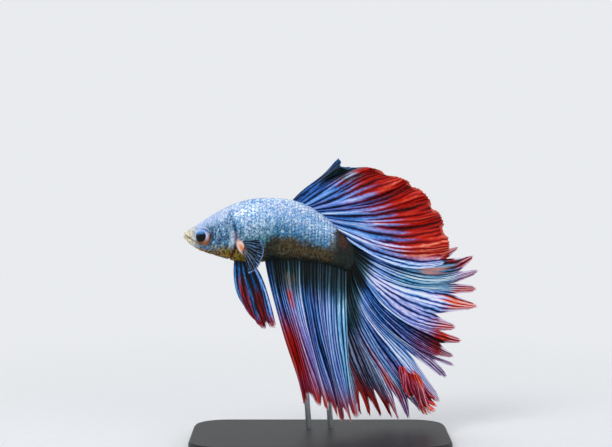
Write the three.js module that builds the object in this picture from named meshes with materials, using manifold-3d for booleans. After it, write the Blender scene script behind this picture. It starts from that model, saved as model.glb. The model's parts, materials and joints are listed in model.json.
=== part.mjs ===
// A life-size display model of a male Siamese fighting fish (Betta splendens) with long,
// combed fins, held above a flat stand by two thin rods.
//
// Millimetres, +Z up. The fish faces -X, its left flank faces -Y, and its tail swings away
// towards +Y. The origin is the middle of the stand's underside.
import * as THREE from "three";
import { LoftGeometry } from "three/addons/geometries/LoftGeometry.js";
import { mergeVertices } from "three/addons/utils/BufferGeometryUtils.js";
import Module from "manifold-3d";

const wasm = await Module();
wasm.setup();

// ---------------------------------------------------------------- driving dimensions

const FLATNESS = 0.03; // how far a curved face may lie from its true place
const SEAM = 0.3; // gap left wherever two pieces meet
const FIN_THICKNESS = 0.5;

const MID_BODY_X = -16; // where the body's side faces squarely left
const HEAD_TURN = 0.005; // how fast the head curves away to +Y, per mm squared
const TAIL_TURN = 0.0086; // how fast the tail does

const GILL = { x: -33.2, z: 58.6, radius: 10.6, front: 5.9 }; // arc of the gill cover's edge
const GILL_ANGLES = { from: -48, to: 26 }; // degrees of that arc the loose cover takes
const GILL_DEPTH = 2.4; // from the body's middle plane out to the cover

const MOUTH = { tip: [-38.4, 59.7], corner: [-33.0, 56.3], floor: 50 };
const EYE = { x: -31.5, z: 58.6, out: 2.3, radius: 2.15, depth: 1.3, forward: 13, up: 6 };

const TRUNK_SPLIT_X = -7.4;
const STALK_SPLIT_X = 2.6;

const FISH_DROP = 2.4; // the fish's own frame lies this far below the stand's
const BASE = { length: 70, width: 42, height: 2.6, corner: 9, bevel: 0.5 };
const ROD_RADIUS = 0.8;
const ROD_TOP_Z = 56; // inside the body
const RODS = [
  { name: "stand_rod_front", foot: [-3, 6.4], top: [-6.5, 2.6] },
  { name: "stand_rod_rear", foot: [3, 7.6], top: [-0.5, 3.8] },
];

// ---------------------------------------------------------------- small helpers

const radians = THREE.MathUtils.degToRad;

// A smooth value through evenly spaced numbers, at u from 0 to 1.
const through = (values, u) =>
  new THREE.SplineCurve(values.map((v) => new THREE.Vector2(v, 0))).getPoint(u).x;

// How far to +Y the fish's middle plane lies at x.
function spineY(x) {
  const along = x - MID_BODY_X;
  return (along < 0 ? HEAD_TURN : TAIL_TURN) * along * along;
}

// A closed geometry as a manifold solid, and back.
function solid(geometry) {
  const bare = geometry.index ? geometry.toNonIndexed() : geometry.clone();
  bare.deleteAttribute("normal");
  bare.deleteAttribute("uv");
  const merged = mergeVertices(bare, 1e-4);
  const corners = merged.index.array;
  const triangles = [];
  for (let i = 0; i < corners.length; i += 3) {
    const [a, b, c] = corners.slice(i, i + 3);
    if (a !== b && b !== c && c !== a) triangles.push(a, b, c);
  }
  return new wasm.Manifold(
    new wasm.Mesh({
      numProp: 3,
      vertProperties: merged.attributes.position.array,
      triVerts: new Uint32Array(triangles),
    }),
  );
}

function geometryOf(manifold) {
  const mesh = manifold.getMesh();
  const positions = new Float32Array(mesh.vertProperties);
  const geometry = new THREE.BufferGeometry()
    .setAttribute("position", new THREE.BufferAttribute(positions, 3))
    .setIndex(new THREE.BufferAttribute(new Uint32Array(mesh.triVerts), 1));
  geometry.computeVertexNormals();
  return geometry;
}

// A cut can leave crumbs: the piece is the largest body.
const largest = (manifold) =>
  manifold.decompose().reduce((a, b) => (b.volume() > a.volume() ? b : a));

// A flat outline in x and z, as a solid from y = near to y = far.
function slab(shape, near, far) {
  const geometry = new THREE.ExtrudeGeometry(shape, {
    depth: far - near,
    bevelEnabled: false,
    curveSegments: 24,
  });
  return solid(geometry.rotateX(Math.PI / 2).translate(0, far, 0));
}

const FAR = 60; // beyond every piece

function block(fromX, toX) {
  const box = new THREE.BoxGeometry(toX - fromX, 2 * FAR, 2 * FAR);
  return solid(box.translate((fromX + toX) / 2, 0, FAR));
}

// ---------------------------------------------------------------- body

// Stations from the snout to the end of the tail stalk: top and bottom of the outline,
// half the width, and how high the widest place lies between bottom and top.
const STATIONS = [
  { x: -37.0, top: 59.0, bottom: 58.2, half: 0.5, widest: 0.5 },
  { x: -36.2, top: 59.9, bottom: 57.0, half: 1.2, widest: 0.5 },
  { x: -34.4, top: 61.1, bottom: 55.5, half: 2.0, widest: 0.5 },
  { x: -31.4, top: 62.9, bottom: 54.1, half: 2.9, widest: 0.55 },
  { x: -27.5, top: 65.4, bottom: 52.9, half: 3.8, widest: 0.52 },
  { x: -23.0, top: 67.5, bottom: 51.7, half: 4.4, widest: 0.5 },
  { x: -17.5, top: 68.9, bottom: 51.3, half: 4.7, widest: 0.52 },
  { x: -11.5, top: 68.95, bottom: 52.0, half: 4.5, widest: 0.55 },
  { x: -5.5, top: 67.9, bottom: 51.8, half: 3.9, widest: 0.55 },
  { x: -0.5, top: 65.2, bottom: 51.2, half: 3.1, widest: 0.52 },
  { x: 4.2, top: 60.9, bottom: 49.8, half: 2.2, widest: 0.5 },
  { x: 7.6, top: 57.9, bottom: 48.6, half: 1.3, widest: 0.5 },
  { x: 9.2, top: 55.6, bottom: 49.4, half: 0.5, widest: 0.5 },
];
const STATION_STEPS = 3; // sections between two stations
const AROUND = 22; // points round a section

const uniformSpline = (points) =>
  new THREE.CatmullRomCurve3(points, false, "catmullrom", 0.5);
const outline = uniformSpline(
  STATIONS.map((s) => new THREE.Vector3(s.x, s.top, s.bottom)),
);
const breadth = uniformSpline(
  STATIONS.map((s) => new THREE.Vector3(s.half, s.widest, 0)),
);

// The body's section at t from 0 (snout) to 1 (tail), grown outwards by extra.
function bodySection(t, extra) {
  const { x, y: top, z: bottom } = outline.getPoint(t);
  const { x: half, y: widest } = breadth.getPoint(t);
  const middle = bottom + (top - bottom) * widest;
  const points = [];
  for (let i = 0; i < AROUND; i++) {
    const angle = (2 * Math.PI * i) / AROUND;
    const rise = (Math.cos(angle) > 0 ? top - middle : middle - bottom) + extra;
    const side = Math.sign(Math.sin(angle)) * Math.abs(Math.sin(angle)) ** 0.92;
    points.push(
      new THREE.Vector3(
        x,
        spineY(x) - (half + extra) * side,
        middle + rise * Math.cos(angle),
      ),
    );
  }
  return points;
}

function bodySolid(extra = 0) {
  const count = (STATIONS.length - 1) * STATION_STEPS;
  const sections = [];
  for (let i = 0; i <= count; i++) sections.push(bodySection(i / count, extra));
  // A grown body also reaches past its two ends.
  sections[0].forEach((p) => (p.x -= extra));
  sections[count].forEach((p) => (p.x += extra));
  return solid(new LoftGeometry(sections, { capStart: true, capEnd: true }));
}

// Height of the back (or the belly) at x, found along the outline.
function outlineAt(x, edge) {
  let low = 0;
  let high = 1;
  for (let i = 0; i < 30; i++) {
    const t = (low + high) / 2;
    if (outline.getPoint(t).x < x) low = t;
    else high = t;
  }
  const point = outline.getPoint(low);
  return edge === "back" ? point.y : point.z;
}

// The part of the plane in front of the gill cover's edge, moved back by grow.
function headShape(grow) {
  const radius = GILL.radius + grow;
  const reach = radians(80);
  const shape = new THREE.Shape();
  shape.absarc(GILL.x, GILL.z, radius, -reach, reach, false);
  shape.lineTo(-FAR, GILL.z + FAR);
  shape.lineTo(-FAR, GILL.z - FAR);
  return shape;
}

// The gill cover's outline: a piece of ring, grown all round by grow.
function gillShape(grow) {
  const turn = grow / GILL.front;
  const from = radians(GILL_ANGLES.from) - turn;
  const to = radians(GILL_ANGLES.to) + turn;
  const shape = new THREE.Shape();
  shape.absarc(GILL.x, GILL.z, GILL.radius + 2 * grow, from, to, false);
  shape.absarc(GILL.x, GILL.z, GILL.front - grow, to, from, true);
  return shape;
}

// Everything below the gape, in front of the jaw's corner.
function jawShape(grow) {
  const [tipX, tipZ] = MOUTH.tip;
  const [cornerX, cornerZ] = MOUTH.corner;
  const shape = new THREE.Shape();
  shape.moveTo(tipX, tipZ + grow);
  shape.lineTo(tipX, MOUTH.floor);
  shape.lineTo(cornerX + 1.2 + grow, MOUTH.floor);
  shape.lineTo(cornerX + grow, cornerZ + grow);
  return shape;
}

// side is -1 for the fish's left and 1 for its right.
function eyeSolid(side, grow) {
  const ball = new THREE.SphereGeometry(1, 14, 8);
  ball.scale(EYE.radius + grow, EYE.radius + grow, EYE.depth + grow);
  ball.rotateX(Math.PI / 2 + side * radians(EYE.up));
  ball.rotateZ(side * radians(EYE.forward));
  return solid(ball.translate(EYE.x, spineY(EYE.x) + side * EYE.out, EYE.z));
}

function rodSolid(rod, grow) {
  const foot = new THREE.Vector3(...rod.foot, FISH_DROP + BASE.height + SEAM - grow);
  const top = new THREE.Vector3(...rod.top, ROD_TOP_Z + grow);
  const run = top.clone().sub(foot);
  const cylinder = new THREE.CylinderGeometry(
    ROD_RADIUS + grow,
    ROD_RADIUS + grow,
    run.length(),
    16,
  );
  cylinder.translate(0, run.length() / 2, 0);
  const turn = new THREE.Quaternion().setFromUnitVectors(
    new THREE.Vector3(0, 1, 0),
    run.normalize(),
  );
  return solid(cylinder.applyQuaternion(turn).translate(...foot));
}

function fleshNodes() {
  let flesh = bodySolid();
  for (const rod of RODS) flesh = flesh.subtract(rodSolid(rod, SEAM));
  for (const side of [-1, 1]) flesh = flesh.subtract(eyeSolid(side, SEAM));

  const inFront = slab(headShape(0), -FAR, FAR);
  const inFrontAndSeam = slab(headShape(SEAM), -FAR, FAR);
  let head = flesh.intersect(inFront);
  const behindHead = flesh.subtract(inFrontAndSeam);

  const covers = {};
  for (const [name, side] of [["left", -1], ["right", 1]]) {
    const middle = spineY(GILL.x + GILL.radius);
    const inner = middle + side * GILL_DEPTH;
    const plate = (grow) => {
      const near = side < 0 ? -FAR : inner - grow;
      const far = side < 0 ? inner + grow : FAR;
      return slab(gillShape(grow), near, far);
    };
    covers[name] = head.intersect(plate(0));
    head = head.subtract(plate(SEAM));
  }
  const jaw = head.intersect(slab(jawShape(0), -FAR, FAR));
  head = head.subtract(slab(jawShape(SEAM), -FAR, FAR));

  return {
    head,
    lower_jaw: jaw,
    gill_cover_left: covers.left,
    gill_cover_right: covers.right,
    trunk_front: behindHead.intersect(block(-FAR, TRUNK_SPLIT_X)),
    trunk_rear: behindHead.intersect(block(TRUNK_SPLIT_X + SEAM, STALK_SPLIT_X)),
    tail_stalk: behindHead.intersect(block(STALK_SPLIT_X + SEAM, FAR)),
  };
}

// ---------------------------------------------------------------- fins

// A fin is a pleated sheet of rays. u runs across it from 0 to 1 and s along a ray, from its
// root to the tip. Each ray is a cubic Bezier in x and z between the root line and the outer
// edge, with the start and end directions given in degrees above +X.
const BACK = (x) => [x, outlineAt(x, "back") - 0.6];
const BELLY = (x) => [x, outlineAt(x, "belly") + 0.6];
const spread = (from, to, count) =>
  Array.from({ length: count }, (_, i) => from + ((to - from) * i) / (count - 1));

const DORSAL = {
  root: spread(-8.0, 3.2, 6).map(BACK),
  edge: [
    [5.0, 79.6], [8.8, 77.1], [14.0, 76.8], [20.2, 75.2], [26.2, 71.9],
    [31.4, 67.2], [34.6, 60.8], [36.4, 54.2], [34.4, 48.9],
  ],
  start: [50, 34, 18, 4, -8, -24, -42],
  end: [52, 20, 16, 22, 20, 12, 10],
  notches: [[0.06, 0.07], [0.36, 0.05], [0.5, 0.03], [0.64, 0.03], [0.78, 0.03], [0.92, 0.05]],
  notchHalf: 0.02,
  perFinger: 5,
  rows: 7,
  pleats: 6.5,
  pleatDepth: 1.5,
  side: (x, rootX) => spineY(rootX) + 0.24 * (x - rootX),
};

const TAIL = {
  root: [[8.2, 56.6], [8.9, 54.6], [9.2, 52.4], [8.8, 50.2], [7.6, 48.9]],
  edge: [
    [38.4, 55.0], [43.8, 50.8], [44.8, 45.6], [44.6, 40.2], [39.8, 34.2], [40.0, 28.0],
    [38.6, 22.0], [33.6, 13.4], [26.4, 8.6], [18.6, 7.8], [10.6, 10.0],
  ],
  start: [-40, -54, -70, -90, -120],
  end: [30, 12, 0, -6, -12, -22, -36, -60, -70, -74, -68],
  notches: [
    [0.06, 0.12], [0.2, 0.13], [0.285, 0.15], [0.37, 0.15], [0.44, 0.1], [0.5, 0.1],
    [0.56, 0.1], [0.64, 0.3], [0.72, 0.1], [0.78, 0.16], [0.84, 0.12], [0.91, 0.12],
  ],
  notchHalf: 0.016,
  perFinger: 3,
  rows: 8,
  pleats: 9,
  pleatDepth: 1.5,
  side: (x, rootX, s, u) => {
    const back = Math.max(x - rootX, 0);
    const billow = 2.4 * s * Math.cos(5.6 * u);
    return spineY(rootX) + 0.9 * s + 0.4 * back - 0.0015 * back * back + billow;
  },
};

const ANAL = {
  root: spread(-15.0, 6.4, 7).map(BELLY),
  edge: [
    [-4.8, 13.6], [-1.6, 12.8], [1.6, 12.0], [4.2, 9.8], [6.6, 7.5], [8.9, 7.7], [10.7, 9.8],
  ],
  start: [-80, -86, -90, -92, -93, -94, -95],
  end: [-80, -79, -78, -77, -76, -75, -74],
  notches: [[0.14, 0.06], [0.3, 0.06], [0.44, 0.05], [0.58, 0.08], [0.72, 0.08], [0.86, 0.1]],
  notchHalf: 0.022,
  perFinger: 4,
  rows: 7,
  pleats: 7,
  pleatDepth: 1.5,
  side: (x, rootX, s) => spineY(rootX) - (1.2 + 0.06 * (rootX - MID_BODY_X)) * s,
};

// The paired fins are given for the left side and mirrored in the middle plane for the right.
const PELVIC = {
  root: [[-23.0, 52.3], [-21.2, 52.0], [-19.5, 52.0]],
  edge: [[-17.8, 36.9], [-15.6, 33.3], [-11.8, 33.9]],
  start: [-97, -84, -66],
  end: [-44, -56, -62],
  notches: [[0.42, 0.05], [0.72, 0.09]],
  notchHalf: 0.05,
  perFinger: 3,
  rows: 6,
  pleats: 1.5,
  pleatDepth: 0.45,
  side: (x, rootX, s) => spineY(rootX) - 1.1 - 1.5 * s,
};

const PECTORAL = {
  root: [[-20.9, 57.2], [-20.5, 55.9], [-20.6, 54.6]],
  edge: [[-15.8, 58.2], [-14.9, 55.6], [-15.5, 52.6], [-17.1, 50.2], [-19.2, 48.9]],
  start: [18, 2, -18, -40, -62],
  end: [4, -10, -28, -52, -78],
  notches: [[0.5, 0.04]],
  notchHalf: 0.06,
  perFinger: 5,
  rows: 4,
  pleats: 2,
  pleatDepth: 0.25,
  side: (x, rootX, s) => spineY(rootX) - 4.2 - 4.0 * s,
};

const alongPoints = (points, u) =>
  new THREE.SplineCurve(points.map((p) => new THREE.Vector2(...p))).getPoint(u);

// Where the fin's middle surface is at u across and s along.
function finPoint(fin, u, s) {
  const root = alongPoints(fin.root, u);
  const tip = alongPoints(fin.edge, u);
  const handle = root.distanceTo(tip) * 0.38;
  const toward = (degrees) =>
    new THREE.Vector2(Math.cos(radians(degrees)), Math.sin(radians(degrees)));
  const ray = new THREE.CubicBezierCurve(
    root,
    root.clone().addScaledVector(toward(through(fin.start, u)), handle),
    tip.clone().addScaledVector(toward(through(fin.end, u)), -handle),
    tip,
  ).getPoint(s);
  const phase = fin.pleats * (u + 0.035 * Math.sin(9 * u + 1)) + 0.2 * s;
  const pleat = fin.pleatDepth * s * Math.sin(2 * Math.PI * phase);
  return new THREE.Vector3(ray.x, fin.side(ray.x, root.x, s, u) + pleat, ray.y);
}

// The share of its full length that the ray at u has: less in a notch between two fingers.
function reachAt(fin, u) {
  const cuts = fin.notches.map(([at, depth]) => {
    const near = Math.max(0, 1 - Math.abs(u - at) / fin.notchHalf);
    const wide = Math.max(0, 1 - Math.abs(u - at) / (3 * fin.notchHalf));
    return depth * (0.8 * near + 0.2 * wide);
  });
  return 1 - Math.max(...cuts);
}

// Columns of the sheet: the middle of each notch, and some across each finger between them.
function finColumns(fin) {
  const stops = [-fin.notchHalf, ...fin.notches.map((n) => n[0]), 1 + fin.notchHalf];
  const columns = [];
  for (let i = 0; i < stops.length - 1; i++) {
    const from = stops[i] + fin.notchHalf;
    const to = stops[i + 1] - fin.notchHalf;
    const share = (to - from) * (fin.notches.length + 1);
    columns.push(...spread(from, to, Math.max(2, Math.round(fin.perFinger * share))));
    if (i < stops.length - 2) columns.push(stops[i + 1]);
  }
  return columns;
}

// The ring round the sheet's ray at u: up its near face and back down the far one.
function finRing(fin, u, thickness) {
  const step = 1e-3;
  const near = [];
  const away = [];
  for (let row = 0; row <= fin.rows; row++) {
    const s = (reachAt(fin, u) * row) / fin.rows;
    const point = finPoint(fin, u, s);
    const along = finPoint(fin, u, s + step).sub(finPoint(fin, u, s - step));
    const across = finPoint(fin, Math.min(u + step, 1), s).sub(
      finPoint(fin, Math.max(u - step, 0), s),
    );
    const offset = along.cross(across).setLength(thickness / 2);
    near.push(point.clone().add(offset));
    away.unshift(point.sub(offset));
  }
  return [...near, ...away];
}

// The first and last ring are drawn together to a line, which closes the sheet's two ends.
function finSolid(fin) {
  const rings = finColumns(fin).map((u) => finRing(fin, u, FIN_THICKNESS));
  return solid(new LoftGeometry([finRing(fin, 0, 0), ...rings, finRing(fin, 1, 0)]));
}

// A left fin reflected in the middle plane at its own root.
function mirrored(fin) {
  const middle = spineY(fin.root[1][0]);
  return finSolid(fin).mirror([0, 1, 0]).translate([0, 2 * middle, 0]);
}

function finNodes() {
  const flesh = bodySolid(SEAM);
  const fins = {
    dorsal_fin: finSolid(DORSAL),
    tail_fin: finSolid(TAIL),
    anal_fin: finSolid(ANAL),
    pelvic_fin_left: finSolid(PELVIC),
    pelvic_fin_right: mirrored(PELVIC),
    pectoral_fin_left: finSolid(PECTORAL),
    pectoral_fin_right: mirrored(PECTORAL),
  };
  for (const name in fins) fins[name] = fins[name].subtract(flesh);
  return fins;
}

// ---------------------------------------------------------------- stand

function baseSolid() {
  const { length, width, height, corner, bevel } = BASE;
  const x = length / 2 - bevel;
  const y = width / 2 - bevel;
  const r = corner - bevel;
  const shape = new THREE.Shape();
  shape.absarc(x - r, y - r, r, 0, Math.PI / 2, false);
  shape.absarc(-x + r, y - r, r, Math.PI / 2, Math.PI, false);
  shape.absarc(-x + r, -y + r, r, Math.PI, 1.5 * Math.PI, false);
  shape.absarc(x - r, -y + r, r, 1.5 * Math.PI, 2 * Math.PI, false);
  const plate = new THREE.ExtrudeGeometry(shape, {
    depth: height - 2 * bevel,
    bevelEnabled: true,
    bevelThickness: bevel,
    bevelSize: bevel,
    bevelSegments: 1,
    curveSegments: 4,
  });
  return solid(plate.translate(0, 0, bevel));
}

// ---------------------------------------------------------------- the model

const FINISHES = {
  skin: { color: 0x9fb6cf, roughness: 0.4, metalness: 0.3 },
  eye: { color: 0x10131f, roughness: 0.1, metalness: 0 },
  fin: { color: 0x4a6fc4, roughness: 0.5, metalness: 0.1 },
  clear_fin: { color: 0x3a4656, roughness: 0.4, metalness: 0 },
  base: { color: 0x26282c, roughness: 0.4, metalness: 0 },
  rod: { color: 0xc8ccd0, roughness: 0.3, metalness: 1 },
};

const model = new THREE.Group();
const fish = new THREE.Group();
fish.position.z = -FISH_DROP;
model.add(fish);

function addNode(group, name, manifold, finish) {
  const material = new THREE.MeshStandardMaterial(FINISHES[finish]);
  const mesh = new THREE.Mesh(geometryOf(largest(manifold).simplify(FLATNESS)), material);
  mesh.name = name;
  group.add(mesh);
}

for (const [name, piece] of Object.entries(fleshNodes())) addNode(fish, name, piece, "skin");
addNode(fish, "eye_left", eyeSolid(-1, 0), "eye");
addNode(fish, "eye_right", eyeSolid(1, 0), "eye");
for (const [name, piece] of Object.entries(finNodes()))
  addNode(fish, name, piece, name.startsWith("pectoral") ? "clear_fin" : "fin");
for (const rod of RODS) addNode(fish, rod.name, rodSolid(rod, 0), "rod");
addNode(model, "stand_base", baseSolid(), "base");

export default model;
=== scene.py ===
# %% [markdown]
# # A fighting fish on a museum stand
# A male Siamese fighting fish, life size, held above a black plate by two thin steel rods.
# The solids give its size and pose. Here they get what makes a fish look alive: one smooth
# skin, some seventeen hundred scales, wet eyes, and fins whose bony rays branch towards the
# edge. Everything is in metres, and `MM` turns the fish's own sizes into them.

# %% Load the solids and keep their box
import json
import math
import random

import bmesh
import bpy
import numpy as np
from mathutils import Matrix, Vector
from mathutils.bvhtree import BVHTree

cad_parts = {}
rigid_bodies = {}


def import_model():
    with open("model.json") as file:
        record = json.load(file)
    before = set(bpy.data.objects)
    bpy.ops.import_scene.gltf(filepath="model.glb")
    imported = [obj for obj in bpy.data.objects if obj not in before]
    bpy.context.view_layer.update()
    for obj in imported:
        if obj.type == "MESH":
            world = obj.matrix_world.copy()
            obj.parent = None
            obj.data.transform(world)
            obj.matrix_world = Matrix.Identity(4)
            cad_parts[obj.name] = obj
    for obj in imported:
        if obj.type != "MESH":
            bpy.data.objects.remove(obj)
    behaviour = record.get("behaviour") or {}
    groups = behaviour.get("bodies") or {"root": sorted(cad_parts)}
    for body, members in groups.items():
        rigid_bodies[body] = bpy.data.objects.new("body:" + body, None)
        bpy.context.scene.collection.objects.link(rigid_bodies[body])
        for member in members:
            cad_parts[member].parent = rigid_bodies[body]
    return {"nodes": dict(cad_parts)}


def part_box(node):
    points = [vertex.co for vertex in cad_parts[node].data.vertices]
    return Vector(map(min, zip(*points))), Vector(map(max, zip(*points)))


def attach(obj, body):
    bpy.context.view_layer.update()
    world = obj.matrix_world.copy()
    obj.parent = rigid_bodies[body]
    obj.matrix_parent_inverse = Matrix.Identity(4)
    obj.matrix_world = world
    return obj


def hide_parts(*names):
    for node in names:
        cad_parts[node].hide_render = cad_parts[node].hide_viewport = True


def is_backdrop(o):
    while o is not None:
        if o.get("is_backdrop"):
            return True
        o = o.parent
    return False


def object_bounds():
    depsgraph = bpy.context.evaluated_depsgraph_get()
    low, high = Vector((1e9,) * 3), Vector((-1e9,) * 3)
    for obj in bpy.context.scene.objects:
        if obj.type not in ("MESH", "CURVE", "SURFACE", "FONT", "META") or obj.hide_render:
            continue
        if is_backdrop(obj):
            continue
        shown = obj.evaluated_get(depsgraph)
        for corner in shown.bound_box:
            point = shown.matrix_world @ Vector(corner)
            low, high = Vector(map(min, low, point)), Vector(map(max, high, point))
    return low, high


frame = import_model()
CAD_BOX = [list(corner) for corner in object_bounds()]
MM = 0.001
print("solids' box, mm:", [[round(v / MM, 1) for v in corner] for corner in CAD_BOX])

# %% [markdown]
# ## Camera, lamps and floor
# The fish is seen square to its left flank and from a little above, as across a tank. A long
# lens keeps its proportions. The lamps are large and soft, because a wet skin shows every
# hard lamp as a spot. The sweep behind is one sheet, curved up, so that no horizon shows.

# %% Camera
FRAME_WIDTH = 165.2 * MM  # what the frame takes in at the fish
CAMERA_DISTANCE = 460 * MM
CAMERA_LIFT = math.radians(3.5)
SENSOR = 36.0

aim = Vector((-3.8 * MM, 0, 59.6 * MM))
camera_data = bpy.data.cameras.new("camera")
camera_data.sensor_width = SENSOR
camera_data.lens = SENSOR * CAMERA_DISTANCE / FRAME_WIDTH
camera_data.clip_start = 10 * MM
camera = bpy.data.objects.new("camera", camera_data)
away = Vector((0, -math.cos(CAMERA_LIFT), math.sin(CAMERA_LIFT)))
camera.location = aim + away * CAMERA_DISTANCE
camera.rotation_euler = (-away).to_track_quat("-Z", "Y").to_euler()
bpy.context.scene.collection.objects.link(camera)
bpy.context.scene.camera = camera
bpy.context.scene.view_settings.view_transform = "Standard"
print("lens, mm:", round(camera_data.lens, 1))


# %% Lamps
def lamp(name, place, size, watts, colour=(1, 1, 1)):
    """A square soft lamp at place, turned to the fish."""
    data = bpy.data.lights.new(name, "AREA")
    data.size = size
    data.energy = watts
    data.color = colour
    made = bpy.data.objects.new(name, data)
    made.location = place
    made.rotation_euler = (aim - made.location).to_track_quat("-Z", "Y").to_euler()
    bpy.context.scene.collection.objects.link(made)


lamp("key lamp", Vector((-0.35, -0.5, 0.6)), 0.35, 2.4)
lamp("fill lamp", Vector((0.6, -0.5, 0.25)), 0.5, 0.9, (0.95, 0.97, 1))
lamp("top lamp", Vector((0.05, 0.15, 0.75)), 0.5, 1.8)
print("lamps:", len(bpy.data.lights))

# %% [markdown]
# ## Writing shader sums as Python
# A finish is a net of nodes. `Value` wraps a socket, and an expression on values adds the
# Math nodes for it, so that a marking can be read as the formula that it is.


# %% A socket that can be summed
class Value:
    """A socket of a finish, on which +, -, *, /, ** and abs make Math nodes."""

    def __init__(self, finish, socket):
        self.finish = finish
        self.socket = socket

    def maths(self, operation, *terms):
        inputs = dict(enumerate(terms))
        return self.finish.node("ShaderNodeMath", {"operation": operation}, inputs)

    def __add__(self, other):
        return self.maths("ADD", self, other)

    def __sub__(self, other):
        return self.maths("SUBTRACT", self, other)

    def __rsub__(self, other):
        return self.maths("SUBTRACT", other, self)

    def __mul__(self, other):
        return self.maths("MULTIPLY", self, other)

    def __truediv__(self, other):
        return self.maths("DIVIDE", self, other)

    def __pow__(self, other):
        return self.maths("POWER", self, other)

    def __abs__(self):
        return self.maths("ABSOLUTE", self)

    __radd__ = __add__
    __rmul__ = __mul__

    def fraction(self):
        return self.maths("FRACT", self)

    def cosine(self):
        return self.maths("COSINE", self)

    def rise(self, low, high):
        """0 below low, 1 above high, and a smooth slope between. low may be above high."""
        return self.finish.node(
            "ShaderNodeMapRange",
            {"interpolation_type": "SMOOTHSTEP"},
            {"Value": self, "From Min": low, "From Max": high},
        )


# %% A material being made
class Finish:
    """A material being made. node() adds any node, and the rest are short names for some."""

    def __init__(self, name, kept_in=bpy.data.materials):
        self.material = kept_in.new(name)
        self.material.use_nodes = True
        self.tree = self.material.node_tree
        self.tree.nodes.clear()

    def node(self, kind, settings=None, inputs=None, output=0):
        """Adds a node: its settings come first, then values or links for its inputs."""
        made = self.tree.nodes.new(kind)
        for key, value in (settings or {}).items():
            if key == "stops":
                self.set_stops(made.color_ramp, value)
            else:
                setattr(made, key, value)
        for key, value in (inputs or {}).items():
            if isinstance(value, Value):
                self.tree.links.new(value.socket, made.inputs[key])
            else:
                made.inputs[key].default_value = value
        return Value(self, made.outputs[output]) if made.outputs else None

    @staticmethod
    def set_stops(ramp, stops):
        while len(ramp.elements) < len(stops):
            ramp.elements.new(0.5)
        for element, (place, colour) in zip(ramp.elements, stops):
            element.position = place
            element.color = colour

    def mix(self, share, first, second):
        """first where share is 0, second where it is 1."""
        inputs = {0: share, 6: first, 7: second}
        return self.node("ShaderNodeMix", {"data_type": "RGBA"}, inputs, output=2)

    def ramp(self, value, stops):
        return self.node("ShaderNodeValToRGB", {"stops": stops}, {"Fac": value})

    def parts(self, vector):
        made = self.node("ShaderNodeSeparateXYZ", {}, {0: vector}).socket.node
        return [Value(self, out) for out in made.outputs]

    def joined(self, x, y, z=0.0):
        return self.node("ShaderNodeCombineXYZ", {}, {0: x, 1: y, 2: z})

    def noise(self, vector, scale, detail=2.0, rough=0.5):
        inputs = {"Vector": vector, "Scale": scale, "Detail": detail, "Roughness": rough}
        return self.node("ShaderNodeTexNoise", {}, inputs)

    def uv(self, name):
        """The three parts of one of the piece's own maps."""
        return self.parts(self.node("ShaderNodeUVMap", {"uv_map": name}))

    def attribute(self, name):
        return self.node("ShaderNodeAttribute", {"attribute_name": name}, {}, 2)

    def place_mm(self):
        """Object coordinates in millimetres."""
        coords = self.node("ShaderNodeTexCoord", {}, {}, 3)
        inputs = {0: coords, "Scale": 1 / MM}
        return self.node("ShaderNodeVectorMath", {"operation": "SCALE"}, inputs)

    def bump(self, height, strength, distance):
        inputs = {"Height": height, "Strength": strength, "Distance": distance}
        return self.node("ShaderNodeBump", {}, inputs)

    def surface(self, **inputs):
        """Ends the net in a Principled shader. A name's _ stands for a space."""
        named = {key.replace("_", " "): value for key, value in inputs.items()}
        shader = self.node("ShaderNodeBsdfPrincipled", {}, named)
        self.node("ShaderNodeOutputMaterial", {}, {"Surface": shader})
        return self.material


# %% Colours as on a paint card
def tint(code):
    """A colour written as on a paint card, such as "c9d2f0", as the lamps' light needs it."""
    parts = [int(code[i : i + 2], 16) / 255 for i in (0, 2, 4)]
    linear = [p / 12.92 if p <= 0.04045 else ((p + 0.055) / 1.055) ** 2.4 for p in parts]
    return (*linear, 1)


def tints(*stops):
    """A ramp's stops, from places and paint-card colours."""
    return [(place, tint(code)) for place, code in stops]


def levels(*stops):
    """A ramp's stops, from places and plain numbers."""
    return [(place, (value, value, value, 1)) for place, value in stops]


print("a mid grey, as light:", round(tint("808080")[0], 3))

# %% [markdown]
# ## The floor
# A pale sheet that runs back and curves up. It is stage, not part of the model.

# %% The floor's sheet
FLOOR_HALF_WIDTH = 2.4
FLOOR_LENGTH = 3.2
FLOOR_FRONT = 0.9  # how far it comes towards the camera
FLOOR_FLAT = 0.9  # where it starts to curve up behind the fish
FLOOR_BEND = 0.6  # the curve's radius
SHEET_FADES = 60.0, 260.0  # mm from the stand, over which its shading fades to a plain white


def finish_mesh(name, bm):
    """The bmesh as a smooth object in the scene."""
    mesh = bpy.data.meshes.new(name)
    bm.to_mesh(mesh)
    bm.free()
    mesh.polygons.foreach_set("use_smooth", [True] * len(mesh.polygons))
    made = bpy.data.objects.new(name, mesh)
    bpy.context.scene.collection.objects.link(made)
    return made


def make_floor():
    """The sheet: a grid, rolled up behind the fish along a quarter of a circle."""
    bm = bmesh.new()
    bmesh.ops.create_grid(bm, x_segments=2, y_segments=60, size=1.0)
    for vert in bm.verts:
        run = (vert.co.y + 1) / 2 * FLOOR_LENGTH - FLOOR_FRONT
        bend = min(max(run - FLOOR_FLAT, 0) / FLOOR_BEND, math.pi / 2)
        beyond = max(run - FLOOR_FLAT - FLOOR_BEND * math.pi / 2, 0)
        back = min(run, FLOOR_FLAT) + FLOOR_BEND * math.sin(bend)
        up = FLOOR_BEND * (1 - math.cos(bend)) + beyond
        vert.co = (vert.co.x * FLOOR_HALF_WIDTH, back, up)
    return finish_mesh("floor", bm)


floor = make_floor()
floor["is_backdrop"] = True
print("floor faces:", len(floor.data.polygons))


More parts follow.
